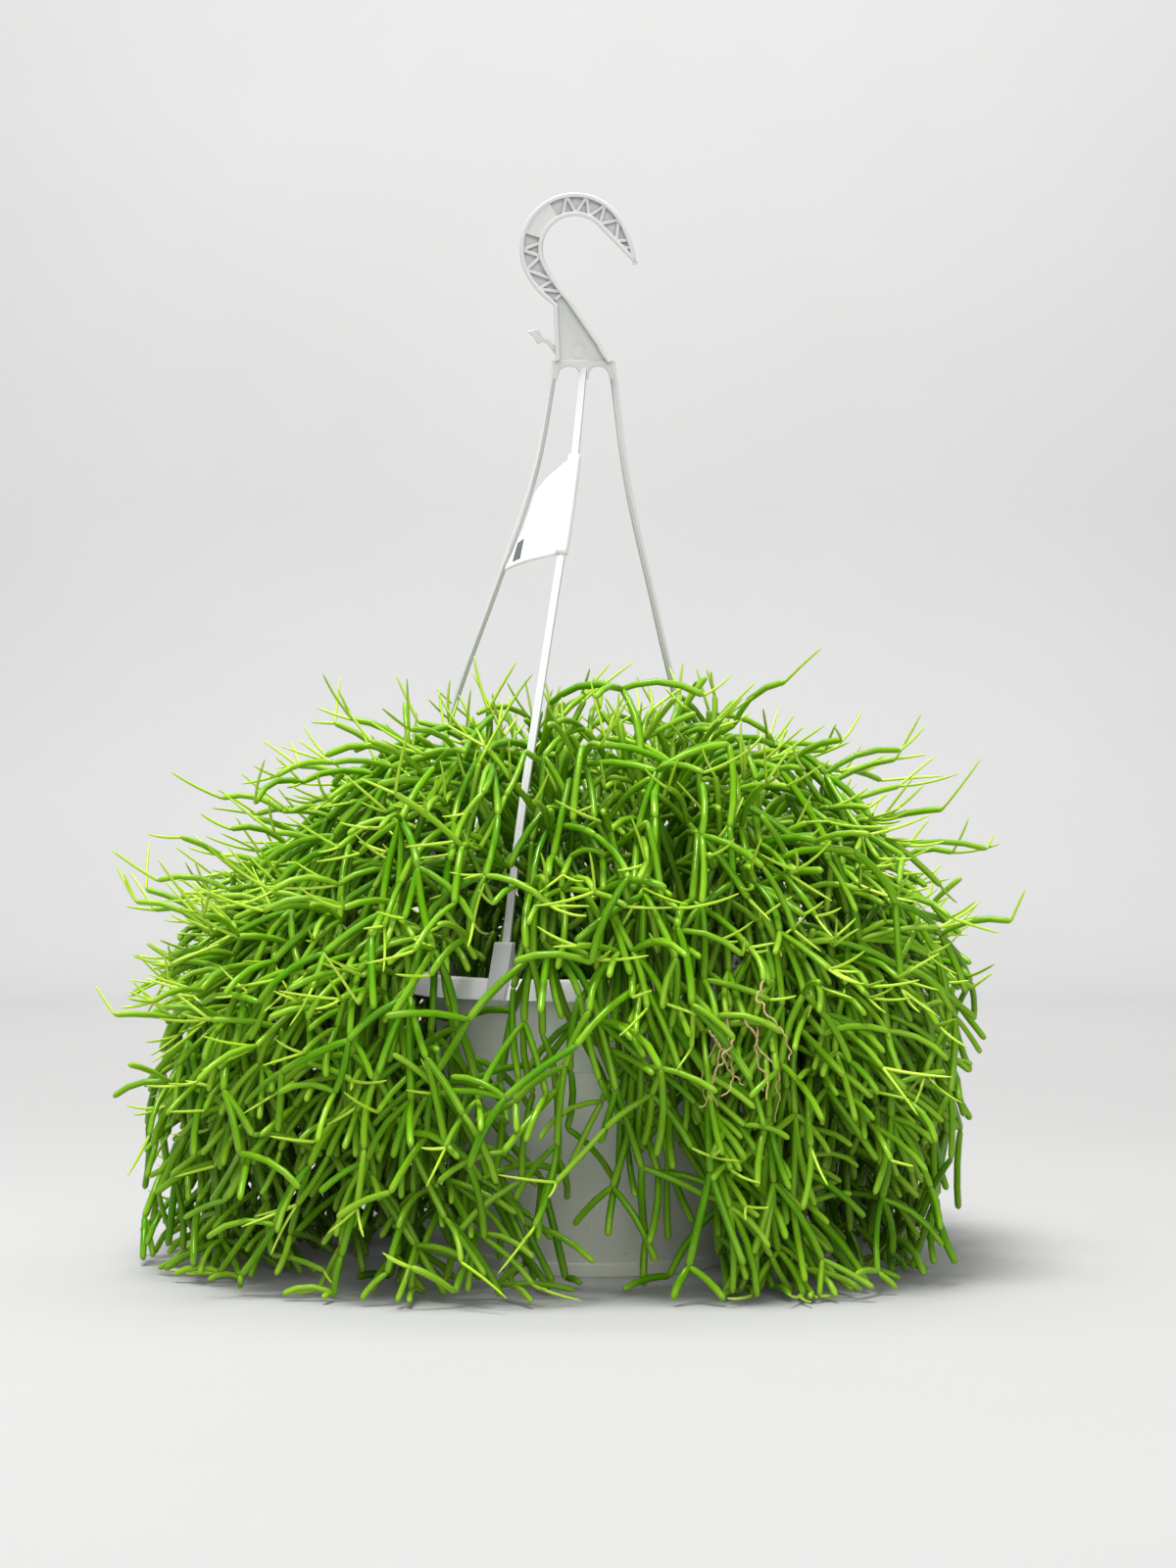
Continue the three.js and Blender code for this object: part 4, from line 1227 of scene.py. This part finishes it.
def drilled(mesh):
    """The pot's mesh with its ring of drain holes."""
    bm = bmesh.new()
    for i in range(DRAIN["count"]):
        turn = Matrix.Rotation(2 * math.pi * i / DRAIN["count"], 4, "Z")
        place = turn @ Matrix.Translation((DRAIN["circle"] * MM, 0, 0))
        bmesh.ops.create_cone(bm, cap_ends=True, segments=24, radius1=DRAIN["radius"] * MM,
                              radius2=DRAIN["radius"] * MM, depth=3 * FLOOR * MM, matrix=place)
    drill = bpy.data.objects.new("drill", mesh_from(bm, "drill"))
    holder = bpy.data.objects.new("holder", mesh)
    for item in (drill, holder):
        scene.collection.objects.link(item)
    cut = holder.modifiers.new("cut", "BOOLEAN")
    cut.operation = "DIFFERENCE"
    cut.solver = "EXACT"
    cut.object = drill
    bpy.context.view_layer.update()
    made = bpy.data.meshes.new_from_object(holder.evaluated_get(bpy.context.evaluated_depsgraph_get()))
    for item in (drill, holder):
        bpy.data.objects.remove(item)
    return made


def make_pot(material):
    under_rim = POT_HEIGHT - RIM["thickness"]
    skirt_foot = POT_HEIGHT - RIM["height"]
    groove = BODY["height"]
    profile = [
        (0, 0.0), (FOOT["radius"] - 0.6, 0.0), (FOOT["radius"], FOOT["height"] - 0.3),
        (BODY["bottom"] + 0.1, FOOT["height"]), (BODY["bottom"], FOOT["height"] + 0.5),
        (BODY["top"], groove - 0.6), (BODY["top"] - 0.5, groove),
        (BAND["bottom"], groove + 0.6), (BAND["top"], under_rim),
        (RIM["top"] - 0.8, under_rim), (RIM["outer"] - 1.5, skirt_foot + 0.2), (RIM["outer"], skirt_foot),
        (RIM["top"] + 0.7, POT_HEIGHT - 0.9), (RIM["top"] - 0.6, POT_HEIGHT),
        (inner_radius(POT_HEIGHT) + 0.5, POT_HEIGHT), (inner_radius(POT_HEIGHT), POT_HEIGHT - 0.6),
        (inner_radius(groove + 1.2), groove + 1.2), (inner_radius(groove - 0.8), groove - 0.8),
        (inner_radius(FOOT["height"] + 1.2), FOOT["height"] + 1.2), (BODY["bottom"] - 2.4, FLOOR), (0, FLOOR),
    ]
    mesh = drilled(turned("flower_pot", rounded(profile, 0.45), 144))
    add_piece("flower_pot", mesh, material, "pot", "pot")


def add_slab(bm, outline, depth, matrix, bevel):
    """Adds an outline in the XZ plane, extruded along Y about its middle, with its edges bevelled."""
    verts = [bm.verts.new((x, -depth / 2, z)) for x, z in outline]
    face = bm.faces.new(verts)
    grown = bmesh.ops.extrude_face_region(bm, geom=[face])["geom"]
    far = [item for item in grown if isinstance(item, bmesh.types.BMVert)]
    bmesh.ops.translate(bm, verts=far, vec=(0, depth, 0))
    caps = [face] + [item for item in grown if isinstance(item, bmesh.types.BMFace)]
    bmesh.ops.recalc_face_normals(bm, faces=list({f for v in verts + far for f in v.link_faces}))
    if bevel:
        edges = list({edge for cap in caps for edge in cap.edges})
        made = bmesh.ops.bevel(bm, geom=edges, offset=bevel, offset_type="OFFSET", segments=2, profile=0.5,
                               affect="EDGES", clamp_overlap=True, material=-1)
        touched = {v for f in made["faces"] for v in f.verts}
        touched |= {v for v in verts + far if v.is_valid}
    else:
        touched = set(verts + far)
    bmesh.ops.transform(bm, matrix=matrix, verts=list(touched))


def beside(path, thickness):
    """The path, then itself moved to its left and reversed: the outline of a strip along it."""
    moved = []
    for i, (x, z) in enumerate(path):
        before = path[max(i - 1, 0)]
        after = path[min(i + 1, len(path) - 1)]
        way = (after[0] - before[0], after[1] - before[1])
        size = math.hypot(*way)
        moved.append((x - way[1] / size * thickness, z + way[0] / size * thickness))
    return path + moved[::-1]


def band(path, half):
    """The outline of a strip with the path along its middle."""
    return beside(path, -half)[len(path):][::-1] + beside(path, half)[len(path):]


def arc(centre, radius, first, last, steps):
    """Points of an arc between two angles in degrees."""
    return [(centre[0] + radius * math.cos(math.radians(first + (last - first) * i / steps)),
             centre[1] + radius * math.sin(math.radians(first + (last - first) * i / steps)))
            for i in range(steps + 1)]


def quadratic(start, corner, end, steps=6):
    """Points of a quadratic curve after its start."""
    return [tuple((1 - t) ** 2 * a + 2 * t * (1 - t) * c + t * t * b for a, c, b in zip(start, corner, end))
            for t in (i / steps for i in range(1, steps + 1))]


# ---------------------------------------------------------------- hanger


def hook_arc(radius, first, last, steps):
    return arc(HOOK["centre"], radius, first, last, steps)


def hook_point(radius, angle):
    return hook_arc(radius, angle, angle, 1)[0]


def hook_paths():
    """The outer and the inner edge of hook and plate, from the plate's foot to the tip."""
    outer = [(-13.2, 2), (-14.2, 27.2)]
    back = hook_arc(HOOK["outer"], 200, 30, 40)
    outer += quadratic(outer[-1], (-24.7, 34.8), back[0])
    outer += back[1:]
    outer += quadratic(outer[-1], (22, 57.5), (24.2, 46))
    inner = [(12.6, 2.2)] + quadratic((12.6, 2.2), (9.4, 5.5), (7.6, 9.8), 4) + [(-6.3, 29.8)]
    front = hook_arc(HOOK["inner"], 205, 43.6, 36)
    inner += quadratic(inner[-1], (-14.4, 39.3), front[0])
    inner += front[1:] + [(23.2, 45.9)]
    return outer, inner


def hook_ribs():
    """The two ends of each zig-zag rib across the channel."""
    radii = (HOOK["inner"] + 1.2, HOOK["outer"] - 1.2)

    def zigzag(first, step, count):
        turns = [hook_point(radii[i % 2], first + step * i) for i in range(count + 1)]
        return list(zip(turns, turns[1:]))

    return zigzag(110, -11, 7) + zigzag(170, 11, 3) + [
        (hook_point(radii[1], 203), (-14.2, 38.9)), ((-14.2, 38.9), (-21, 34.6)),
        ((-9.5, 33.4), (-21, 34.6)), ((-9.5, 33.4), (-13.4, 29.8)),
        ((14.5, 56.1), hook_point(HOOK["outer"] - 1, 34)), ((14.5, 56.1), (20.8, 56.9)),
        ((17.6, 52.9), (21.9, 53.7)),
    ]


def strip_between(start, end, thickness):
    """A straight strip's outline from one point to another."""
    way = (end[0] - start[0], end[1] - start[1])
    size = math.hypot(*way)
    x, z = -way[1] / size * thickness / 2, way[0] / size * thickness / 2
    return [(start[0] + x, start[1] + z), (start[0] - x, start[1] - z), (end[0] - x, end[1] - z),
            (end[0] + x, end[1] + z)]


def add_hook(bm):
    """Flanges along both edges of a web, ribs and a solid block between them, and the plate below."""
    lean = Matrix.Translation(HANGER_TOP) @ Matrix.Rotation(HOOK["lean"], 4, "X")
    outer, inner = hook_paths()
    low, high = PLATE["foot"], PLATE["arch"]
    foot = [(-14.9, low), (-13.2, PLATE["top"]), (12.5, PLATE["top"]), (14.0, low)]
    for start, corner, top, end in PLATE["arches"]:
        foot += [(start, low)]
        foot += quadratic((start, low), (corner, high), (top, high))
        foot += quadratic((top, high), (end, high), (end, low))
    add_slab(bm, outer + inner[::-1], HOOK["web"], lean, 0.0)
    add_slab(bm, foot, HOOK["foot_depth"], lean, 0.5)
    add_slab(bm, beside(outer, -HOOK["flange"]), HOOK["depth"], lean, 0.45)
    add_slab(bm, beside(inner, HOOK["flange"]), HOOK["depth"], lean, 0.45)
    for start, end in hook_ribs():
        add_slab(bm, strip_between(start, end, HOOK["rib"]), HOOK["depth"] - 1.6, lean, 0.3)
    block = hook_arc(HOOK["outer"] - 1, 163, 119, 12) + hook_arc(HOOK["inner"] + 1, 119, 163, 12)
    add_slab(bm, block, HOOK["depth"] - 0.7, lean, 0.3)
    peg = [(-12.6, 3.8), (-13, 8), (-16.5, 11.8), (-19.5, 13.2), (-21.5, 16.6), (-26.3, 15.4),
           (-23.2, 12.6), (-21.6, 9.4), (-19.2, 10.8), (-17, 9.4)]
    add_slab(bm, peg, HOOK["web"], lean, 0.4)
    mark = arc((-2.9, 7.2), 3.6, 0, 345, 23) + arc((-2.9, 7.2), 3.1, 345, 0, 23)
    add_slab(bm, mark, HOOK["web"] + 0.5, lean, 0.0)


def strap_side(strap, thickness, steps=60):
    """The side outline of a strap in its own upright plane."""
    _, _, route = strap_plane(strap)
    return band([spline_point(route, i / steps) for i in range(steps + 1)], thickness / 2)


def add_strap(bm, strap):
    """A flat band with a raised rib along its middle."""
    root, heading, _ = strap_plane(strap)
    place = Matrix.Translation((root[0], root[1], 0)) @ Matrix.Rotation(heading, 4, "Z")
    add_slab(bm, strap_side(strap, STRAP["thickness"] * 0.72), STRAP["width"], place, 0.3)
    add_slab(bm, strap_side(strap, STRAP["thickness"]), STRAP["width"] * 0.36, place, 0.25)


def add_clip(bm, strap):
    """A plate outside the rim that hooks under its skirt, a tongue inside, and a bridge that joins them."""
    place = Matrix.Rotation(math.radians(strap["azimuth"]), 4, "Z")
    skirt = POT_HEIGHT - RIM["height"]
    outside = RIM["outer"] + 0.4
    top = CLIP["top"]
    plate = [
        (outside - 2.6, skirt - 0.3), (outside, skirt - 0.3), (RIM["top"] + 1.4, POT_HEIGHT - 1),
        (RIM["top"] + 0.2, POT_HEIGHT + 3), (CLIP_CIRCLE, top - 5), (77.6, top - 0.4), (78.2, top),
        (80.4, top), (81, top - 1), (RIM["top"] + 3, POT_HEIGHT + 2),
        (outside + CLIP["plate"], skirt + 0.6), (outside + 0.8, skirt - 2), (outside - 2.6, skirt - 1.6),
    ]
    inside = CLIP["inside"]
    tongue = [
        (inside, POT_HEIGHT + 0.4), (inside, CLIP["foot"]), (inside - 1.5, CLIP["foot"]),
        (inside - 1.5, POT_HEIGHT + 2.5), (77.2, top - 0.6), (CLIP_CIRCLE, top - 0.6),
        (CLIP_CIRCLE, top - 4.5),
    ]
    seat = [
        (inside, POT_HEIGHT + 0.35), (RIM["top"] + 0.9, POT_HEIGHT + 0.35),
        (RIM["top"] + 0.4, POT_HEIGHT + 1.8), (inside, POT_HEIGHT + 1.8),
    ]
    add_slab(bm, plate, CLIP["width"], place, 0.4)
    add_slab(bm, tongue, CLIP["width"] * 0.72, place, 0.35)
    add_slab(bm, seat, CLIP["width"] * 0.72, place, 0.2)


def make_hanger(material):
    bm = bmesh.new()
    add_hook(bm)
    for strap in STRAPS.values():
        add_strap(bm, strap)
        add_clip(bm, strap)
    bmesh.ops.scale(bm, vec=(MM, MM, MM), verts=bm.verts)
    add_piece("hanger_finer", mesh_from(bm, "hanger_finer"), material, "hanger", "hanger")


# ---------------------------------------------------------------- label


def strap_share(strap, height):
    low, high = 0.0, 1.0
    for _ in range(30):
        middle = (low + high) / 2
        if strap_point(strap, middle)[2] > height:
            low = middle
        else:
            high = middle
    return low


def label_point(across, up, lift):
    """A point of the label: across from front strap to left strap, up its height, lifted off its face."""
    front, left = STRAPS["front"], STRAPS["left"]
    near = strap_point(front, strap_share(front, LABEL["bottom"] + up * (LABEL["top"] - LABEL["bottom"])))
    far_height = LABEL["bottom"] - LABEL["droop"] + up * LABEL["far_height"]
    far = strap_point(left, strap_share(left, far_height))
    along = add(far, near, -1)
    face = unit((-along[1], along[0], 0))
    if face[1] > 0:
        face = scaled(face, -1)
    size = length_of(along)
    start = LABEL["near_gap"] / size
    end = 1 - LABEL["far_gap"] / size
    x, y, z = add(near, along, start + across * (end - start))
    z -= LABEL["droop"] * across * across * up
    z -= LABEL["sag"] * math.sin(math.pi * across) * up
    wave = 0.5 * math.sin(5.5 * up + 2 * across) * across
    return add((x, y, z), face, LABEL["bow"] * math.sin(math.pi * across) + wave + lift)


def make_label(material):
    """A bowed sheet and the sleeve that it makes round the front strap."""
    columns, rows = 28, 20
    bm = bmesh.new()
    bmesh.ops.create_grid(bm, x_segments=columns, y_segments=rows, size=0.5)
    flat = {vert: (vert.co.x + 0.5, vert.co.y + 0.5) for vert in bm.verts}
    for vert, (across, up) in flat.items():
        vert.co = label_point(across, up, 0.0)
    bmesh.ops.recalc_face_normals(bm, faces=bm.faces)
    bmesh.ops.solidify(bm, geom=bm.faces[:], thickness=LABEL["thickness"])
    root, heading, route = strap_plane(STRAPS["front"])
    place = Matrix.Translation((root[0], root[1], 0)) @ Matrix.Rotation(heading, 4, "Z")
    high = strap_share(STRAPS["front"], LABEL["top"])
    low = strap_share(STRAPS["front"], LABEL["bottom"])
    path = [spline_point(route, high + (low - high) * i / 16) for i in range(17)]
    half = STRAP["thickness"] / 2 + 2 * LABEL["thickness"]
    add_slab(bm, band(path, half), STRAP["width"] + 4 * LABEL["thickness"], place, 0.3)
    bmesh.ops.scale(bm, vec=(MM, MM, MM), verts=bm.verts)
    mesh = mesh_from(bm, "label_sheet", is_smooth=True)
    corner = np.array(label_point(PATCH["left"], PATCH["bottom"], 0)) * MM
    side = np.array(label_point(PATCH["right"], PATCH["bottom"], 0)) * MM - corner
    rise = np.array(label_point(PATCH["left"], PATCH["top"], 0)) * MM - corner
    away = places_of(mesh) - corner
    across = away @ side / (side @ side)
    up = away @ (rise - side * (rise @ side) / (side @ side)) / (rise @ rise)
    set_attribute(mesh, "print", np.stack([across, up, across * 0], axis=1))
    add_piece("label_sheet", mesh, material, "label", "label")


# ---------------------------------------------------------------- soil and roots

SOIL_GAP = 0.3
SOIL_LUMPS = ((90, 1.1), (260, 0.7), (600, 0.4))  # how often they come, and their height in millimetres
SOIL_RINGS = 30
CRUMBS = 420
DRY_ROOT = {"count": 8, "across": (46, 68), "height": (105, 136), "steps": (6, 12), "step": (2.5, 5.5),
            "radius": 0.55, "taper": 18, "bow": 0.9}


def make_soil(material, draws):
    """Potting soil with an uneven, crumbly top."""
    top = SOIL_TOP + SOIL_CROWN
    edge = inner_radius(SOIL_TOP) - SOIL_GAP
    bend = BODY["height"]
    profile = [
        (0, FLOOR + SOIL_GAP), (BODY["bottom"] - 2.8, FLOOR + SOIL_GAP),
        (inner_radius(FOOT["height"] + 1.6) - SOIL_GAP, 8),
        (inner_radius(bend - 1) - SOIL_GAP, bend - 1),
        (inner_radius(bend + 1.5) - SOIL_GAP, bend + 1.5), (edge, SOIL_TOP - 1.2),
    ]
    for i in range(SOIL_RINGS + 1):
        share = 1 - i / SOIL_RINGS
        profile.append((edge * share, top - SOIL_CROWN * 0.9 * share ** 2 - 0.8))
    mesh = turned("potting_soil", profile, 120)
    places = places_of(mesh)
    for i, (x, y, z) in enumerate(places):
        if z > (SOIL_TOP - 1.1) * MM:
            spot = Vector((x, y, 0))
            lump = sum(noise.noise(spot * often) * high for often, high in SOIL_LUMPS)
            places[i, 2] += min(lump, 0.6) * MM
    move_to(mesh, places)
    bm = bmesh.new()
    bm.from_mesh(mesh)
    for _ in range(CRUMBS):
        angle = draws.between(0, 2 * math.pi)
        away = (edge - 3) * math.sqrt(draws.random())
        size = draws.between(0.6, 1.7)
        spot = (away * math.cos(angle), away * math.sin(angle), top - SOIL_CROWN * (away / edge) ** 2 - 0.6)
        crumb = Matrix.Translation(Vector(spot) * MM) @ Matrix.Rotation(draws.between(0, 6), 4, (1, 1, 0))
        crumb = crumb @ Matrix.Diagonal((size * MM, size * MM * draws.between(0.5, 0.9), size * MM * 0.6, 1))
        bmesh.ops.create_icosphere(bm, subdivisions=1, radius=1, matrix=crumb)
    bm.to_mesh(mesh)
    bm.free()
    add_piece("potting_soil", mesh, material, "soil", "soil")


def make_dry_roots(material, template, bush):
    """Thin dry roots that hang from the foremost stems in front, on the right."""
    draws = bush.draws
    left, right = DRY_ROOT["across"]
    bottom, top = DRY_ROOT["height"]
    starts, ends, radii = [], [], []
    points = [tuple(point) for point in bush.b[:bush.count]
              if left < point[0] < right and bottom < point[2] < top]
    for point in sorted(points, key=lambda place: place[1])[:DRY_ROOT["count"]]:
        aim = (draws.between(-0.6, 0.4), -0.2, -1)
        for n in range(int(draws.between(*DRY_ROOT["steps"]))):
            aim = unit(add(aim, (draws.between(-1, 1), draws.between(-0.5, 0.3), draws.between(-1.2, 0.3))))
            ahead = add(point, aim, draws.between(*DRY_ROOT["step"]))
            starts.append(point)
            ends.append(ahead)
            radii.append(DRY_ROOT["radius"] * (1 - n / DRY_ROOT["taper"]))
            point = ahead
    starts, ends, radii = np.array(starts), np.array(ends), np.array(radii)
    count = len(starts)
    chord = ends - starts
    bow = DRY_ROOT["bow"]
    bows = np.array([[draws.between(-bow, bow) for _ in range(3)] for _ in range(count)])
    along = np.einsum("ij,ij->i", bows, chord) / np.einsum("ij,ij->i", chord, chord)
    bows -= along[:, None] * chord
    rings = [(i / 7, 0, 1) for i in range(8)]
    none = np.zeros(count)
    places, _, _ = bent(places_of(template), starts, ends, radii, none, bows, none, rings)
    mesh = repeated(template, count)
    move_to(mesh, places * MM)
    add_piece("dry_roots", mesh, material, "stems")


SWEEP = {"front": -3.4, "wall": 3.0, "bend": 0.7, "top": 3.4, "side": 6}  # in metres


def make_floor(material):
    """A pale floor that sweeps up into a wall behind the object."""
    bm = bmesh.new()
    bend = arc((SWEEP["wall"] - SWEEP["bend"], SWEEP["bend"]), SWEEP["bend"], -90, 0, 15)
    profile = [(SWEEP["front"], 0)] + bend + [(SWEEP["wall"], SWEEP["top"])]
    points = [bm.verts.new((-SWEEP["side"], y, z)) for y, z in profile]
    edges = [bm.edges.new(pair) for pair in zip(points, points[1:])]
    wide = bmesh.ops.extrude_edge_only(bm, edges=edges)["geom"]
    far = [item for item in wide if isinstance(item, bmesh.types.BMVert)]
    bmesh.ops.translate(bm, verts=far, vec=(2 * SWEEP["side"], 0, 0))
    mesh = mesh_from(bm, "floor", is_smooth=True)
    mesh.materials.append(material)
    floor = bpy.data.objects.new("floor", mesh)
    scene.collection.objects.link(floor)


def add_light(name, place, aim, size, power):
    light = bpy.data.lights.new(name, "AREA")
    light.shape = "RECTANGLE"
    light.size, light.size_y = size
    light.energy = power
    lamp = bpy.data.objects.new(name, light)
    lamp.location = place
    lamp.rotation_euler = (Vector(aim) - Vector(place)).to_track_quat("-Z", "Y").to_euler()
    scene.collection.objects.link(lamp)


def set_lights():
    world = bpy.data.worlds.new("studio")
    scene.world = world
    world.use_nodes = True
    world.node_tree.nodes["Background"].inputs["Color"].default_value = (0.98, 0.99, 1.0, 1)
    world.node_tree.nodes["Background"].inputs["Strength"].default_value = 0.37
    add_light("sky", (-0.3, -0.5, 2.2), (0, 0.1, 0.15), (0.8, 0.65), 74)
    add_light("front", (0.3, -2.5, 0.9), (0, 0, 0.1), (2.0, 1.2), 34)
    add_light("backdrop", (0, 0.9, 2.8), (0, 3.0, 0.9), (3.0, 0.8), 70)
    scene.view_settings.view_transform = "Standard"


# ---------------------------------------------------------------- the object

set_lights()
make_floor(floor_paint())
make_pot(pot_plastic())
make_hanger(hanger_plastic())
make_label(label_paper())

bush, cuttings = grow_frame_stems()
grow_fine_stems(bush, cuttings)
template = unit_stem()
make_soil(potting_soil(), bush.draws)
make_dry_roots(dry_root(), template, bush)
skin = stem_skin()
for cutting in cuttings:
    node = f"cutting_{cutting['number'] + 1:02d}"
    mesh = make_stems(bush, cutting["number"], template, bush.draws)
    add_piece(f"stems_{cutting['number'] + 1:02d}", mesh, skin, "stems", node)
